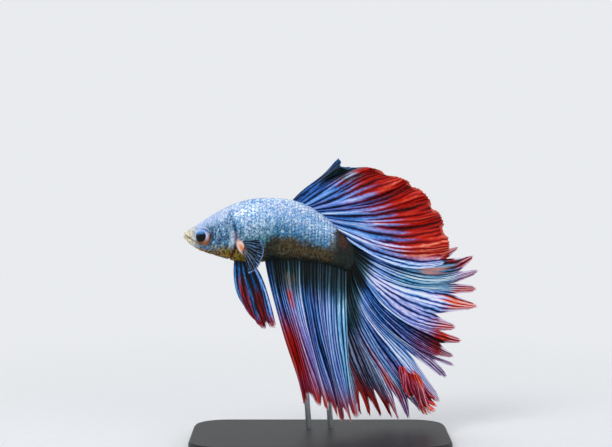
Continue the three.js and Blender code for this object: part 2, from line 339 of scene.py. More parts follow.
# %% Paper and a soft room
def seen_rays(finish):
    """1 for rays that show a surface to the eye, 0 for rays that only carry light."""
    kinds = ("Camera", "Glossy", "Transmission")
    first, second, third = (
        finish.node("ShaderNodeLightPath", {}, {}, f"Is {kind} Ray") for kind in kinds
    )
    return first + second + third


sheet = Finish("pale paper")
paper_place = sheet.place_mm()
grain = sheet.noise(paper_place, 0.4, 3.0)
paper = sheet.mix(grain, tint("e2e3e5"), tint("eaebec"))
lit = sheet.node("ShaderNodeBsdfPrincipled", {}, {"Base Color": paper, "Roughness": 0.9})
plain = sheet.node("ShaderNodeEmission", {}, {"Color": tint("e9ebee")})
paper_x, paper_y, _ = sheet.parts(paper_place)
from_stand = (paper_x * paper_x + paper_y * paper_y) ** 0.5
far = from_stand.rise(*SHEET_FADES) * seen_rays(sheet)
both = sheet.node("ShaderNodeMixShader", {}, {0: far, 1: lit, 2: plain})
sheet.node("ShaderNodeOutputMaterial", {}, {"Surface": both})
floor.data.materials.append(sheet.material)

room = Finish("soft room", bpy.data.worlds)
bpy.context.scene.world = room.material
light = room.node("ShaderNodeBackground", {}, {"Color": (0.93, 0.96, 1, 1), "Strength": 0.55})
wall = room.node("ShaderNodeBackground", {}, {"Color": tint("e9ebee"), "Strength": 1.0})
both = room.node("ShaderNodeMixShader", {}, {0: seen_rays(room), 1: light, 2: wall})
room.node("ShaderNodeOutputWorld", {}, {"Surface": both})
print("nodes of the room's light:", len(room.tree.nodes))

# %% [markdown]
# ## One skin over the flesh
# The head, jaw, gill covers, trunk and tail stalk are separate solids, parted by thin cuts.
# A real fish has one skin, so a tube of points is laid over all of them: from the middle of
# the body, lines run out to the solids' surface, and the tube takes their lengths. Smoothing
# those lengths takes out the cuts and the flat facets. The tube then lies a little inside
# the solids, by the depth of the scales that will cover it.

# %% The flesh as one target for lines
FLESH = (
    "head",
    "lower_jaw",
    "gill_cover_left",
    "gill_cover_right",
    "trunk_front",
    "trunk_rear",
    "tail_stalk",
)
COAT_DEPTH = 0.12 * MM


def solids_tree(names):
    """A tree of the named solids' triangles, which answers where a line first meets them."""
    corners = []
    faces = []
    for name in names:
        mesh = frame["nodes"][name].data
        start = len(corners)
        corners += [v.co.copy() for v in mesh.vertices]
        faces += [[start + i for i in p.vertices] for p in mesh.polygons]
    return BVHTree.FromPolygons(corners, faces), np.array(corners)


flesh_tree, flesh_points = solids_tree(FLESH + ("eye_left", "eye_right"))
SNOUT_X = flesh_points[:, 0].min()
STALK_X = flesh_points[:, 0].max()


def middle_line():
    """How the body's middle runs in y and in z: smooth curves through slices of the flesh."""
    slices = np.linspace(SNOUT_X, STALK_X, 26)
    rows = []
    for low, high in zip(slices[:-1], slices[1:]):
        inside = flesh_points[(flesh_points[:, 0] >= low) & (flesh_points[:, 0] <= high)]
        if len(inside) > 8:
            middle = (inside.min(0) + inside.max(0)) / 2
            rows.append([(low + high) / 2, middle[1], middle[2]])
    rows = np.array(rows)
    return np.polyfit(rows[:, 0], rows[:, 1], 3), np.polyfit(rows[:, 0], rows[:, 2], 4)


MIDDLE_Y, MIDDLE_Z = middle_line()


def middle_at(x):
    """The point in the body's middle at x."""
    return np.array([x, np.polyval(MIDDLE_Y, x), np.polyval(MIDDLE_Z, x)])


print("body length, mm:", round((STALK_X - SNOUT_X) / MM, 1))

# %% Lines from the middle out to the solids
ALONG, AROUND = 260, 132  # lines along the body and round it
FRONT_ROUND, BACK_ROUND = 26, 12  # how many of them fan out over the snout and the stalk's end
FRONT_INSET, BACK_INSET = 2.2 * MM, 1.0 * MM
HEAD_CROWDING = 1.25  # above 1, the rings lie closer together over the head
CUT_DEPTH = 0.3 * MM  # a line this much shorter than its neighbours fell into a cut
SMOOTHINGS = 5


def line_starts():
    """For each ring of lines: where they start, and how far they lean to the front or back."""
    body = ALONG - FRONT_ROUND - BACK_ROUND
    share = np.linspace(0, 1, body) ** HEAD_CROWDING
    first, last = SNOUT_X + FRONT_INSET, STALK_X - BACK_INSET
    xs = first + (last - first) * share
    lean_front = np.linspace(90, 0, FRONT_ROUND, endpoint=False)
    lean_back = -np.linspace(90, 0, BACK_ROUND, endpoint=False)[::-1]
    starts = [middle_at(first)] * FRONT_ROUND + [middle_at(x) for x in xs]
    starts += [middle_at(last)] * BACK_ROUND
    leans = np.radians(np.concatenate([lean_front, np.zeros(body), lean_back]))
    return np.array(starts), leans


def line_directions(lean):
    """Unit vectors round one ring. They start at the back and go down the left side."""
    turn = np.linspace(0, 2 * np.pi, AROUND, endpoint=False)
    flat = np.stack([np.zeros(AROUND), -np.sin(turn), np.cos(turn)], 1)
    return np.cos(lean) * flat + np.sin(lean) * np.array([-1.0, 0, 0])


def outermost(start, direction):
    """The length of the line from start to the flesh's outer face, met from outside."""
    reach = 30 * MM
    far = Vector(start + direction * reach)
    hit = flesh_tree.ray_cast(far, Vector(-direction), reach)
    return reach - hit[3] if hit[0] is not None else 0.0


def smoothed(lengths, times):
    """Averages each length with its neighbours, round the ring and along the body."""
    for _ in range(times):
        lengths = (np.roll(lengths, 1, 1) + 2 * lengths + np.roll(lengths, -1, 1)) / 4
        padded = np.concatenate([lengths[:1], lengths, lengths[-1:]])
        lengths = (padded[:-2] + 2 * padded[1:-1] + padded[2:]) / 4
    return lengths


starts, leans = line_starts()
directions = np.array([line_directions(lean) for lean in leans])
lengths = np.array([[outermost(s, d) for d in ring] for s, ring in zip(starts, directions)])
# A line that falls into a cut between two solids is shorter than its neighbours: take theirs.
shifts = [np.roll(lengths, shift, 0) for shift in (-3, -2, -1, 1, 2, 3)]
longest_near = np.max(shifts, axis=0)
filled = np.where(lengths < longest_near - CUT_DEPTH, longest_near, lengths)
filled[:3], filled[-BACK_ROUND - 2 :] = lengths[:3], lengths[-BACK_ROUND - 2 :]
filled = smoothed(filled, SMOOTHINGS) - COAT_DEPTH
skin_points = starts[:, None, :] + directions * filled[:, :, None]
print("lines cast:", lengths.size, "longest, mm:", round(float(filled.max()) / MM, 2))

# %% [markdown]
# ## The face and gill cover
# The solids give the head's bulk. Its small forms are raised or sunk here along the skin's
# own normal: the gape with a lip on each side, the socket and the rim round the eye, the
# nostril, the step at the gill cover's edge and the slit behind it, and the fleshy lobe that
# the breast fin grows from. Each is a short formula of the distance to a point, arc or line,
# measured in the side view, and placed from the solids' boxes.


# %% Where the face's features lie
def bump_at(distance, width):
    """1 at no distance, falling smoothly to 0 at about twice the width."""
    return np.exp(-((distance / width) ** 2))


def smooth_rise(value, low, high):
    """Value.rise for arrays, with low below high."""
    share = np.clip((value - low) / np.maximum(high - low, 1e-9), 0, 1)
    return share * share * (3 - 2 * share)


def step_at(value, width):
    """0 well below zero, 1 well above, and a smooth slope that width wide between."""
    return smooth_rise(value, -width / 2, width / 2)


def from_line(x, z, first, last):
    """Distance from the points to a straight stretch in the side view."""
    run = np.array(last) - np.array(first)
    share = ((x - first[0]) * run[0] + (z - first[1]) * run[1]) / (run @ run)
    share = np.clip(share, 0, 1)
    return np.hypot(x - first[0] - share * run[0], z - first[1] - share * run[1])


jaw_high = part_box("lower_jaw")[1]
gill_low, gill_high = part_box("gill_cover_left")
eye_low, eye_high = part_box("eye_left")
EYE_X, EYE_Z = (eye_low.x + eye_high.x) / 2, (eye_low.z + eye_high.z) / 2
EYE_RADIUS = (eye_high.z - eye_low.z) / 2
GAPE = [(SNOUT_X, jaw_high.z + 0.15 * MM), (jaw_high.x - 0.5 * MM, jaw_high.z - 2.0 * MM)]
GILL_RADIUS = 10.6 * MM  # of the arc that the gill cover's edge follows
GILL_X = gill_high.x - GILL_RADIUS
GILL_Z = EYE_Z
LOBE_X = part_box("pectoral_fin_left")[0].x - 0.25 * MM
LOBE_Z = gill_low.z + 2.5 * MM
LOBE_NARROW = 0.62  # the lobe's width over its height
print("eye radius, mm:", round(EYE_RADIUS / MM, 2))


# %% Raise and sink the skin
def skin_normals(points):
    """Each point's outward direction, from its neighbours along and round the tube."""
    along = np.gradient(points, axis=0)
    around = np.roll(points, -1, 1) - np.roll(points, 1, 1)
    normal = np.cross(around, along)
    size = np.linalg.norm(normal, axis=2, keepdims=True)
    return normal / np.maximum(size, 1e-12)


def face_relief(points):
    """How far each point of the skin is raised, in metres."""
    x, z = points[:, :, 0], points[:, :, 2]
    relief = np.zeros(x.shape)

    # The closed mouth, and a lip on each side of it.
    gape = from_line(x, z, *GAPE)
    relief -= 0.3 * MM * bump_at(gape, 0.17 * MM)
    relief += 0.2 * MM * bump_at(gape - 0.5 * MM, 0.3 * MM)

    # The eye's socket and its rim.
    eye = np.hypot(x - EYE_X, z - EYE_Z)
    socket = step_at(EYE_RADIUS - 0.12 * MM - eye, 0.5 * MM)
    relief -= 1.0 * MM * socket
    relief += 0.12 * MM * bump_at(eye - EYE_RADIUS - 0.1 * MM, 0.3 * MM)

    nostril = np.hypot(x - EYE_X + 2.5 * MM, z - EYE_Z - 2.0 * MM)
    relief -= 0.28 * MM * bump_at(nostril, 0.2 * MM)

    # The gill cover, the slit behind it and the edge of the bone within it.
    gill = np.hypot(x - GILL_X, z - GILL_Z)
    angle = np.degrees(np.arctan2(z - GILL_Z, x - GILL_X))
    cover = step_at(angle + 62, 20) * step_at(38 - angle, 20)
    inside = step_at(GILL_RADIUS - 0.15 * MM - gill, 0.22 * MM)
    relief += 0.05 * MM * cover * inside
    relief -= 0.42 * MM * cover * bump_at(gill - GILL_RADIUS - 0.2 * MM, 0.35 * MM)
    relief -= 0.12 * MM * cover * bump_at(gill - 0.62 * GILL_RADIUS, 0.3 * MM)

    # The fleshy lobe of the breast fin.
    lobe = np.hypot((x - LOBE_X) / LOBE_NARROW, z - LOBE_Z - 0.25 * (x - LOBE_X))
    relief += 0.8 * MM * bump_at(lobe, 1.5 * MM)
    return relief


relief = face_relief(skin_points)
skin_points = skin_points + skin_normals(skin_points) * relief[:, :, None]
print("relief, mm, from", round(relief.min() / MM, 2), "to", round(relief.max() / MM, 2))

# %% The skin's mesh
MAP_MARGIN = 0.01  # left free round the skin's map


def make_skin():
    """A grid rolled into the tube, welded at its seam and at its two ends."""
    bm = bmesh.new()
    bmesh.ops.create_grid(bm, x_segments=ALONG - 1, y_segments=AROUND, size=1.0)
    bake = bm.loops.layers.uv.new("OFBake")
    place = bm.loops.layers.uv.new("Place")
    cell = {}
    for vert in bm.verts:
        i = round((vert.co.x + 1) / 2 * (ALONG - 1))
        j = round((vert.co.y + 1) / 2 * AROUND)
        cell[vert] = (i, j)
        vert.co = Vector(skin_points[i, j % AROUND])
    for face in bm.faces:
        for loop in face.loops:
            i, j = cell[loop.vert]
            loop[bake].uv = skin_map(i, j)
            loop[place].uv = body_place(i, j)
    bmesh.ops.remove_doubles(bm, verts=bm.verts, dist=0.002 * MM)
    bmesh.ops.recalc_face_normals(bm, faces=bm.faces)
    return finish_mesh("skin", bm)


def skin_map(i, j):
    """The skin unrolled: along the body to the right, and round it upwards."""
    span = 1 - 2 * MAP_MARGIN
    return MAP_MARGIN + span * i / (ALONG - 1), MAP_MARGIN + span * j / AROUND


def body_place(i, j):
    """Where a point lies on the body: from snout 0 to stalk 1, and from belly 0 to back 1."""
    ring = skin_points[i, :, 2]
    low, high = ring.min(), ring.max()
    point = skin_points[i, j % AROUND]
    lift = (point[2] - low) / max(high - low, 1e-9)
    return (point[0] - SNOUT_X) / (STALK_X - SNOUT_X), lift


skin = make_skin()
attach(skin, "root")
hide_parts(*FLESH)
print("skin faces:", len(skin.data.polygons))

# %% [markdown]
# ## The body's colours
# Skin and scales carry the same markings, so one function paints both. It reads where a point
# lies on the body, from snout to stalk and from belly to back, so the pattern follows the
# fish and not the world. The back is a pale steel lavender, near white along its top with a
# painted highlight, the flank powder blue to teal with painted glints and a painted sheen high
# in front, the belly a dark olive brown, the face darker and speckled, the lips cream and the
# chin gold. The stalk is darkened to near black by painted shade.


# %% Back, flank and belly
def flank_colours(finish, along, lift, cloud, speck, streak):
    """Blue flank over a dark belly, whose edge climbs and falls along the body.

    cloud is a coarse noise, speck a fine one, and streak one that is drawn out upright."""
    height = lift + cloud * 0.35
    # Paler towards the back, and near white along its top, where it is partly a painted highlight.
    flank = finish.ramp(
        height,
        tints(
            (0.0, "1d3238"),
            (0.24, "2d6670"),
            (0.4, "4a94a8"),
            (0.54, "3a8aba"),
            (0.64, "58a0d0"),
            (0.75, "a6caf4"),
            (0.9, "e6efff"),
        ),
    )
    middle = along.rise(0.44, 0.53) * along.rise(0.68, 0.56) * lift.rise(0.8, 0.5)
    flank = finish.mix(middle * 0.5, flank, tint("35868c"))
    rear = along.rise(0.46, 0.8) * 0.34 + along.rise(0.46, 0.56) * 0.36
    flank = finish.mix(rear * lift.rise(0.98, 0.8), flank, tint("2c80c2"))
    # A painted whitish sheen high on the front of the flank.
    shoulder_sheen = along.rise(0.32, 0.38) * along.rise(0.55, 0.45) * height.rise(0.36, 0.52)
    flank = finish.mix(shoulder_sheen * 0.7, flank, tint("cfeaff"))
    deep = finish.ramp(height, tints((0.3, "123c50"), (0.55, "2f6ea4"), (0.8, "7ba6da")))
    light = finish.ramp(height, tints((0.3, "9ad4dc"), (0.6, "d4ecfa"), (0.85, "fbfaff")))
    flank = finish.mix(speck.rise(0.56, 0.42) * 0.9, flank, deep)
    # Painted glints from the upright streaks, stronger towards the back.
    glints = streak.rise(0.5, 0.62) * (lift * 0.8 + 0.1) * (1 - along.rise(0.5, 0.8) * 0.2)
    flank = finish.mix(glints, flank, light)
    flank = finish.mix(cloud.rise(0.08, 0.2) * lift.rise(0.5, 0.7) * 0.5, flank, tint("d2ccf8"))
    heights = [(0.28, 0.02), (0.42, 0.14), (0.52, 0.44), (0.6, 0.42), (0.76, 0.35), (0.85, 0.4)]
    belly_edge = finish.ramp(along + cloud * 0.1, levels(*heights, (0.9, 1.3)))
    brown = finish.mix(speck.rise(0.4, 0.62), tint("1d190c"), tint("5a4524"))
    brown = finish.mix(streak.rise(0.54, 0.7) * 0.65, brown, tint("70826c"))
    teal = finish.mix(speck.rise(0.42, 0.6), tint("050b0a"), tint("142622"))
    # The near-black teal lies at the belly's front, along its very bottom, and over the whole
    # stalk, where it is painted shade.
    ends = along.rise(0.6, 0.5) + lift.rise(0.14, 0.02) + along.rise(0.82, 0.92) * 1.3
    brown = finish.mix(ends * 0.75, brown, teal)
    rust = along.rise(0.89, 0.92) * along.rise(0.98, 0.94) * lift.rise(0.5, 0.7)
    brown = finish.mix(rust * 0.5 * speck.rise(0.4, 0.55), brown, tint("6a3424"))
    below = (lift + cloud * 0.26 - belly_edge).rise(0.05, -0.09)
    return finish.mix(below, flank, brown)


# %% The face
def face_colours(finish, colour, along, lift, cloud, speck, streak):
    """Cheek, chin, throat and lips, over the flank's colours."""
    cheek = finish.mix(speck.rise(0.41, 0.6), tint("12151f"), tint("4f86c0"))
    # Painted cyan glints on the cheek.
    cheek = finish.mix(streak.rise(0.5, 0.66) * 0.85, cheek, tint("b8e6f6"))
    cheek = finish.mix(cloud.rise(0.06, 0.2) * 0.45, cheek, tint("5b3550"))
    face = along.rise(0.34, 0.27) * (lift + cloud * 0.2).rise(0.95, 0.66)
    colour = finish.mix(face * 0.85, colour, cheek)
    crown = along.rise(0.3, 0.12) * lift.rise(0.66, 0.9)
    colour = finish.mix(crown * 0.7, colour, tint("aabfe8"))

    gold = finish.mix(speck.rise(0.45, 0.6), tint("241c10"), tint("b07c1e"))
    olive = finish.mix(speck.rise(0.4, 0.56), tint("221a06"), tint("8a7414"))
    throat = (lift + cloud * 0.25).rise(0.35, 0.17) * along.rise(0.5, 0.38)
    colour = finish.mix(throat * along.rise(0.1, 0.26), colour, olive)
    chin = (lift + cloud * 0.24).rise(0.15, 0.07) * along.rise(0.3, 0.18)
    colour = finish.mix(chin, colour, gold)

    cream = finish.mix(speck.rise(0.36, 0.54), tint("988d68"), tint("ece4ce"))
    cream = finish.mix(cloud.rise(0.0, 0.16) * 0.35, cream, tint("c2c2d8"))
    snout = (along + cloud * 0.05 + lift * 0.02).rise(0.11, 0.05)
    return finish.mix(snout, colour, cream)


# %% The body, with its gill, mouth, eyelid and lobe
def body_colours(finish):
    """The body's colour, before what each scale adds."""
    along, lift, _ = finish.uv("Place")
    place = finish.place_mm()
    x, _, z = finish.parts(place)
    cloud = finish.noise(place, 0.4, 3.0, 0.6) - 0.5
    speck = finish.noise(place, 1.6, 4.0, 0.72)
    streak = finish.noise(finish.joined(x * 1.5, lift * 11.0, x - z * 0.5), 1.1, 3.0, 0.65)
    colour = flank_colours(finish, along, lift, cloud, speck, streak)
    colour = face_colours(finish, colour, along, lift, cloud, speck, streak)

    # The gill cover's pale rim, and the slit behind it: red below, navy above.
    gill_x, gill_z = x - GILL_X / MM, z - GILL_Z / MM
    from_gill = (gill_x * gill_x + gill_z * gill_z) ** 0.5 - GILL_RADIUS / MM
    cover = gill_z.rise(-8.0, -5.5) * gill_z.rise(4.5, 1.5) * gill_x.rise(2.0, 5.0)
    pale_rim = cover * abs(from_gill + 1.0).rise(0.9, 0.2) * gill_z.rise(-3.6, -1.4)
    colour = finish.mix(pale_rim * streak.rise(0.34, 0.56) * 0.85, colour, tint("c8e6f4"))
    slit_colour = finish.mix(gill_z.rise(-3.5, -1.0), tint("5a1c18"), tint("0c1424"))
    colour = finish.mix(cover * abs(from_gill - 0.2).rise(0.55, 0.1), colour, slit_colour)

    # The closed mouth.
    run_x, run_z = (GAPE[1][0] - GAPE[0][0]) / MM, (GAPE[1][1] - GAPE[0][1]) / MM
    run = math.hypot(run_x, run_z)
    gape_x, gape_z = x - GAPE[0][0] / MM, z - GAPE[0][1] / MM
    off_gape = abs(gape_x * (run_z / run) - gape_z * (run_x / run))
    in_gape = (gape_x * (run_x / run) + gape_z * (run_z / run)).rise(run + 0.1, run - 0.3)
    colour = finish.mix(in_gape * off_gape.rise(0.22, 0.06) * 0.6, colour, tint("5a3a30"))

    # Navy behind the eye, and a thin lid round it: brown below, pale above.
    eye_x, eye_z = x - EYE_X / MM, z - EYE_Z / MM
    from_eye = (eye_x * eye_x * 1.1 + eye_z * eye_z * 0.8) ** 0.5 - EYE_RADIUS / MM
    behind = from_eye.rise(1.6, 0.5) * eye_x.rise(0.3, 1.6)
    colour = finish.mix(behind * 0.6, colour, tint("14253f"))
    lid = finish.mix((eye_z - eye_x * 0.5).rise(-0.6, 0.9), tint("8f5f36"), tint("bccaee"))
    colour = finish.mix(from_eye.rise(0.26, 0.06) * 0.8, colour, lid)

    # The peach lobe of the breast fin, in a violet flush.
    lobe_x, lobe_z = x - LOBE_X / MM, z - LOBE_Z / MM
    lobe_x = lobe_x + lobe_z * 0.45
    from_lobe = (lobe_x * lobe_x * 1.5 + lobe_z * lobe_z * 0.42) ** 0.5
    from_lobe = from_lobe + cloud * 0.5
    flush = from_lobe.rise(3.4, 1.6) * (lobe_z + lobe_x * 0.4).rise(-1.0, 1.0) * 0.4
    colour = finish.mix(flush, colour, tint("b49cba"))
    flesh = finish.mix(from_lobe.rise(1.1, 0.2), tint("f2cfc0"), tint("ea8446"))
    colour = finish.mix(from_lobe.rise(1.7, 1.1), colour, flesh)
    return colour, along, lift, speck


# %% The skin's finish
def skin_finish():
    """The markings on a moist, faintly uneven skin."""
    finish = Finish("skin")
    colour, _, _, speck = body_colours(finish)
    relief = finish.noise(finish.place_mm(), 6.0, 3.0)
    return finish.surface(
        Base_Color=colour,
        Roughness=speck * 0.15 + 0.35,
        Specular_IOR_Level=0.2,
        Normal=finish.bump(relief, 0.25, 0.05 * MM),
    )


skin.data.materials.append(skin_finish())
print("nodes of the skin's finish:", len(skin.data.materials[0].node_tree.nodes))

# %% [markdown]
# ## The scales
# Each scale is a thin shield: rounded at its free edge, domed, and tilted so that it lies
# over the one behind it. One is modelled, and copies are set out in rings along the body,
# every other ring half a scale further round, as on the fish. They are joined into one mesh.
# The face behind the eye has smaller ones, and the lips, throat and fin root none.

# %% One scale
SCALE_LENGTH, SCALE_WIDTH = 1.8 * MM, 1.5 * MM
SCALE_THICKNESS = 0.035 * MM
SCALE_ON_MAP = 0.003  # the side of one scale's square on the skin's map


def scale_template():
    """A scale with its root to the front, its free edge to the back and its face up."""
    bm = bmesh.new()
    bmesh.ops.create_grid(bm, x_segments=5, y_segments=5, size=1.0)
    own = bm.loops.layers.uv.new("Scale")
    for face in bm.faces:
        for loop in face.loops:
            loop[own].uv = (loop.vert.co.x + 1) / 2, (loop.vert.co.y + 1) / 2
    for vert in bm.verts:
        back, side = (vert.co.x + 1) / 2, vert.co.y
        width = 0.62 + 0.38 * math.sin(math.pi * back**0.8)
        reach = back - 0.2 * side**2 * back**2
        lie = 0.05 * (1 - side**2) + 0.1 * back - 0.03 * back**3 - 0.02
        vert.co = (reach - 0.5) * SCALE_LENGTH, side * width * SCALE_WIDTH / 2, lie * MM
    bmesh.ops.solidify(bm, geom=bm.faces, thickness=SCALE_THICKNESS)
    bmesh.ops.recalc_face_normals(bm, faces=bm.faces)
    mesh = bpy.data.meshes.new("one scale")
    bm.to_mesh(mesh)
    bm.free()
    return mesh


one_scale = scale_template()
print("faces of one scale:", len(one_scale.polygons))

# %% Where the rings of scales lie
skin_normal = skin_normals(skin_points)


def rings_between(first_x, last_x, pitch):
    """Ring numbers along the tube whose spacing along the flank is pitch."""
    flank = skin_points[:, AROUND // 4]
    run = np.concatenate([[0], np.cumsum(np.linalg.norm(np.diff(flank, axis=0), axis=1))])
    first = np.interp(first_x, flank[:, 0], run)
    last = np.interp(last_x, flank[:, 0], run)
    return np.interp(np.arange(first, last, pitch), run, np.arange(ALONG))


def round_ring(ring, share):
    """The number of the line that lies that share of the way round the ring."""
    points = skin_points[ring]
    steps = np.linalg.norm(np.roll(points, -1, 0) - points, axis=1)
    run = np.concatenate([[0], np.cumsum(steps)])
    return np.interp(share * run[-1], run, np.arange(AROUND + 1)), run[-1]


print("rings on the trunk:", len(rings_between(gill_high.x, STALK_X, 0.98 * MM)))


# %% Places for the scales of one patch
def bare_place(point):
    """True where the fish has no scales."""
    x, z = point[0], point[2]
    eye = math.hypot(x - EYE_X, z - EYE_Z)
    gill = math.hypot(x - GILL_X, z - GILL_Z)
    angle = math.degrees(math.atan2(z - GILL_Z, x - GILL_X))
    slit = abs(gill - GILL_RADIUS - 0.1 * MM) < 0.3 * MM and -55 < angle < 30
    lobe = math.hypot((x - LOBE_X) / LOBE_NARROW, z - LOBE_Z) < 2.3 * MM
    return eye < EYE_RADIUS + 0.8 * MM or slit or lobe


def scale_places(first_x, last_x, rows, pitch, size, lowest):
    """Each scale of a patch: its matrix, its places on the skin's map and body, and its tone.

    rows go round the body, rings lie pitch apart, and none lies below the share lowest."""
    chance = random.Random(rows)
    places = []
    for count, ring in enumerate(rings_between(first_x, last_x, pitch)):
        i = min(int(round(ring)), ALONG - 2)
        for row in range(rows):
            j, girth = round_ring(i, ((row + 0.5 * (count % 2)) / rows) % 1.0)
            j = int(round(j)) % AROUND
            point = skin_points[i, j]
            if bare_place(point) or body_place(i, j)[1] < lowest:
                continue
            up = Vector(skin_normal[i, j])
            back = Vector(skin_points[i + 1, j] - skin_points[i - 1, j])
            side = up.cross(back).normalized()
            back = side.cross(up)
            turn = Matrix((back, side, up)).transposed().to_4x4()
            wide = girth / rows / (SCALE_WIDTH * 0.72)
            shape = Matrix.Diagonal((size * chance.uniform(0.95, 1.05), wide, size, 1))
            twist = Matrix.Rotation(chance.uniform(-0.08, 0.08), 4, "Z")
            matrix = Matrix.Translation(point) @ turn @ twist @ shape
            places.append((matrix, skin_map(i, j), body_place(i, j), chance.random()))
    return places


body_places = scale_places(
    gill_high.x - 1.0 * MM, STALK_X - 0.6 * MM, rows=38, pitch=0.98 * MM, size=0.87, lowest=-1.0
)
face_places = scale_places(
    EYE_X + 0.6 * MM, gill_high.x - 0.9 * MM, rows=44, pitch=0.78 * MM, size=0.62, lowest=0.2
)
print("scales on the body:", len(body_places), "and on the face:", len(face_places))


# %% Join a patch of scales
def make_scales(name, places):
    """Copies of the one scale at the places, joined, with their maps."""
    bm = bmesh.new()
    per_scale = len(one_scale.vertices)
    for matrix, *_ in places:
        bm.from_mesh(one_scale)
        bm.verts.ensure_lookup_table()
        bmesh.ops.transform(bm, matrix=matrix, verts=bm.verts[-per_scale:])
    own = bm.loops.layers.uv["Scale"]
    bake = bm.loops.layers.uv.new("OFBake")
    place = bm.loops.layers.uv.new("Place")
    tone = bm.verts.layers.float.new("tone")
    for number, face in enumerate(bm.faces):
        _, root, on_body, shade = places[number // len(one_scale.polygons)]
        for loop in face.loops:
            u, v = loop[own].uv
            off_u, off_v = SCALE_ON_MAP * (u - 0.5), SCALE_ON_MAP * (v - 0.5)
            loop[bake].uv = root[0] + off_u, root[1] + off_v
            loop[place].uv = on_body
            loop.vert[tone] = shade
    return finish_mesh(name, bm)


# %% The scales' finish
def scale_finish(name, strength):
    """The body's colours, with a painted glint of pale rings and sparks that grows towards the
    back, a dark edge and a tone of each scale's own.
    """
    finish = Finish(name)
    colour, along, lift, _ = body_colours(finish)
    back, side, _ = finish.uv("Scale")
    tone = finish.attribute("tone")
    off_x, off_y = back - 0.66, (side - 0.5) * 0.9
    radius = (off_x * off_x + off_y * off_y) ** 0.5
    spark = finish.noise(finish.place_mm(), 2.4, 2.0, 0.6)
    ring = abs(radius - 0.2).rise(0.13, 0.02) * (along.rise(0.6, 0.8) * 0.4 + 0.1)
    # The stalk's scales lie in painted shade, so they get neither glint nor dark edge.
    strength = along.rise(0.91, 0.85) * strength
    # Painted glints: a pale ring, the brighter tones and fine sparks, stronger towards the back.
    lit = lift.rise(0.3, 0.8) * strength
    shade = (tone * 7.0).fraction()
    glint = (ring + shade.rise(0.7, 1.0) * 0.35 + spark.rise(0.55, 0.64) * 0.65) * lit
    edge = radius.rise(0.27, 0.36) * (spark.rise(0.6, 0.44) * 0.4 + 0.15)
    pale = finish.mix(tone, tint("c4ecfa"), tint("f2f4ff"))
    colour = finish.mix(glint, colour, pale)
    dim = edge + shade.rise(0.36, 0.0) * 0.35 + spark.rise(0.47, 0.38) * 0.5
    blue = finish.mix(lift.rise(0.45, 0.8), tint("123e5c"), tint("4a8ccc"))
    colour = finish.mix(dim * strength * lift.rise(0.28, 0.5), colour, blue)
    return finish.surface(
        Base_Color=colour,
        Roughness=0.45 - glint * 0.15,
        Metallic=glint * 0.3,
        Specular_IOR_Level=0.2,
    )


body_scales = make_scales("body_scales", body_places)
body_scales.data.materials.append(scale_finish("body scales", 1.0))
face_scales = make_scales("face_scales", face_places)
face_scales.data.materials.append(scale_finish("face scales", 0.5))
for coat in (body_scales, face_scales):
    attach(coat, "root")
    print(coat.name, "triangles:", 2 * len(coat.data.polygons))

# %% [markdown]
# ## The eyes
# A fish's eye is a flattened ball with a lens that fills its black pupil. The ball is spun
# round the same axis as the solid one. Its ring is painted by how far a point lies from the
# pupil's middle and in which direction: pale lilac above, warm brown below, and a painted blue
# sheen over the pupil. A clear coat keeps it wet.

# %% Eyeballs
EYE_BULGE = 1.2  # mm that the ball stands out from its middle
LENS_RISE, LENS_WIDTH = 0.18, 0.6  # mm, and a share of the eye's radius
PUPIL_AHEAD, PUPIL_LOW = 0.2, 0.02  # of the eye's radius


def eye_axes(node):
    """The solid eye's middle, and its forward, up and outward directions."""
    points = np.array([v.co for v in frame["nodes"][node].data.vertices])
    middle = (points.min(0) + points.max(0)) / 2
    spread = np.linalg.svd(points - points.mean(0), full_matrices=False)[2]
    out = Vector(spread[2])
    if out.y * (-1 if node.endswith("left") else 1) < 0:
        out.negate()
    up = (Vector((0, 0, 1)) - out * out.z).normalized()
    forward = out.cross(up) if node.endswith("left") else up.cross(out)
    if forward.x > 0:
        forward.negate()
    return Vector(middle), forward, up, out


print("the left eye looks towards:", [round(v, 2) for v in eye_axes("eye_left")[3]])


# %% A ball with a lens
def make_eye(node):
    """A ball on the solid eye's axes, with a lens that stands up in its middle."""
    middle, forward, up, out = eye_axes(node)
    bm = bmesh.new()
    bmesh.ops.create_uvsphere(bm, u_segments=64, v_segments=40, radius=1.0)
    iris = bm.loops.layers.uv.new("Iris")
    for face in bm.faces:
        for loop in face.loops:
            loop[iris].uv = loop.vert.co.xy
    for vert in bm.verts:
        flat, high = vert.co.xy.length, vert.co.z
        lens = LENS_RISE * math.exp(-((flat / LENS_WIDTH) ** 4)) if high > 0 else 0
        local = vert.co.x * EYE_RADIUS, vert.co.y * EYE_RADIUS, (high * EYE_BULGE + lens) * MM
        vert.co = middle + forward * local[0] + up * local[1] + out * local[2]
    bmesh.ops.recalc_face_normals(bm, faces=bm.faces)
    made = finish_mesh(node + "_ball", bm)
    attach(made, "root")
    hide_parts(node)
    return made


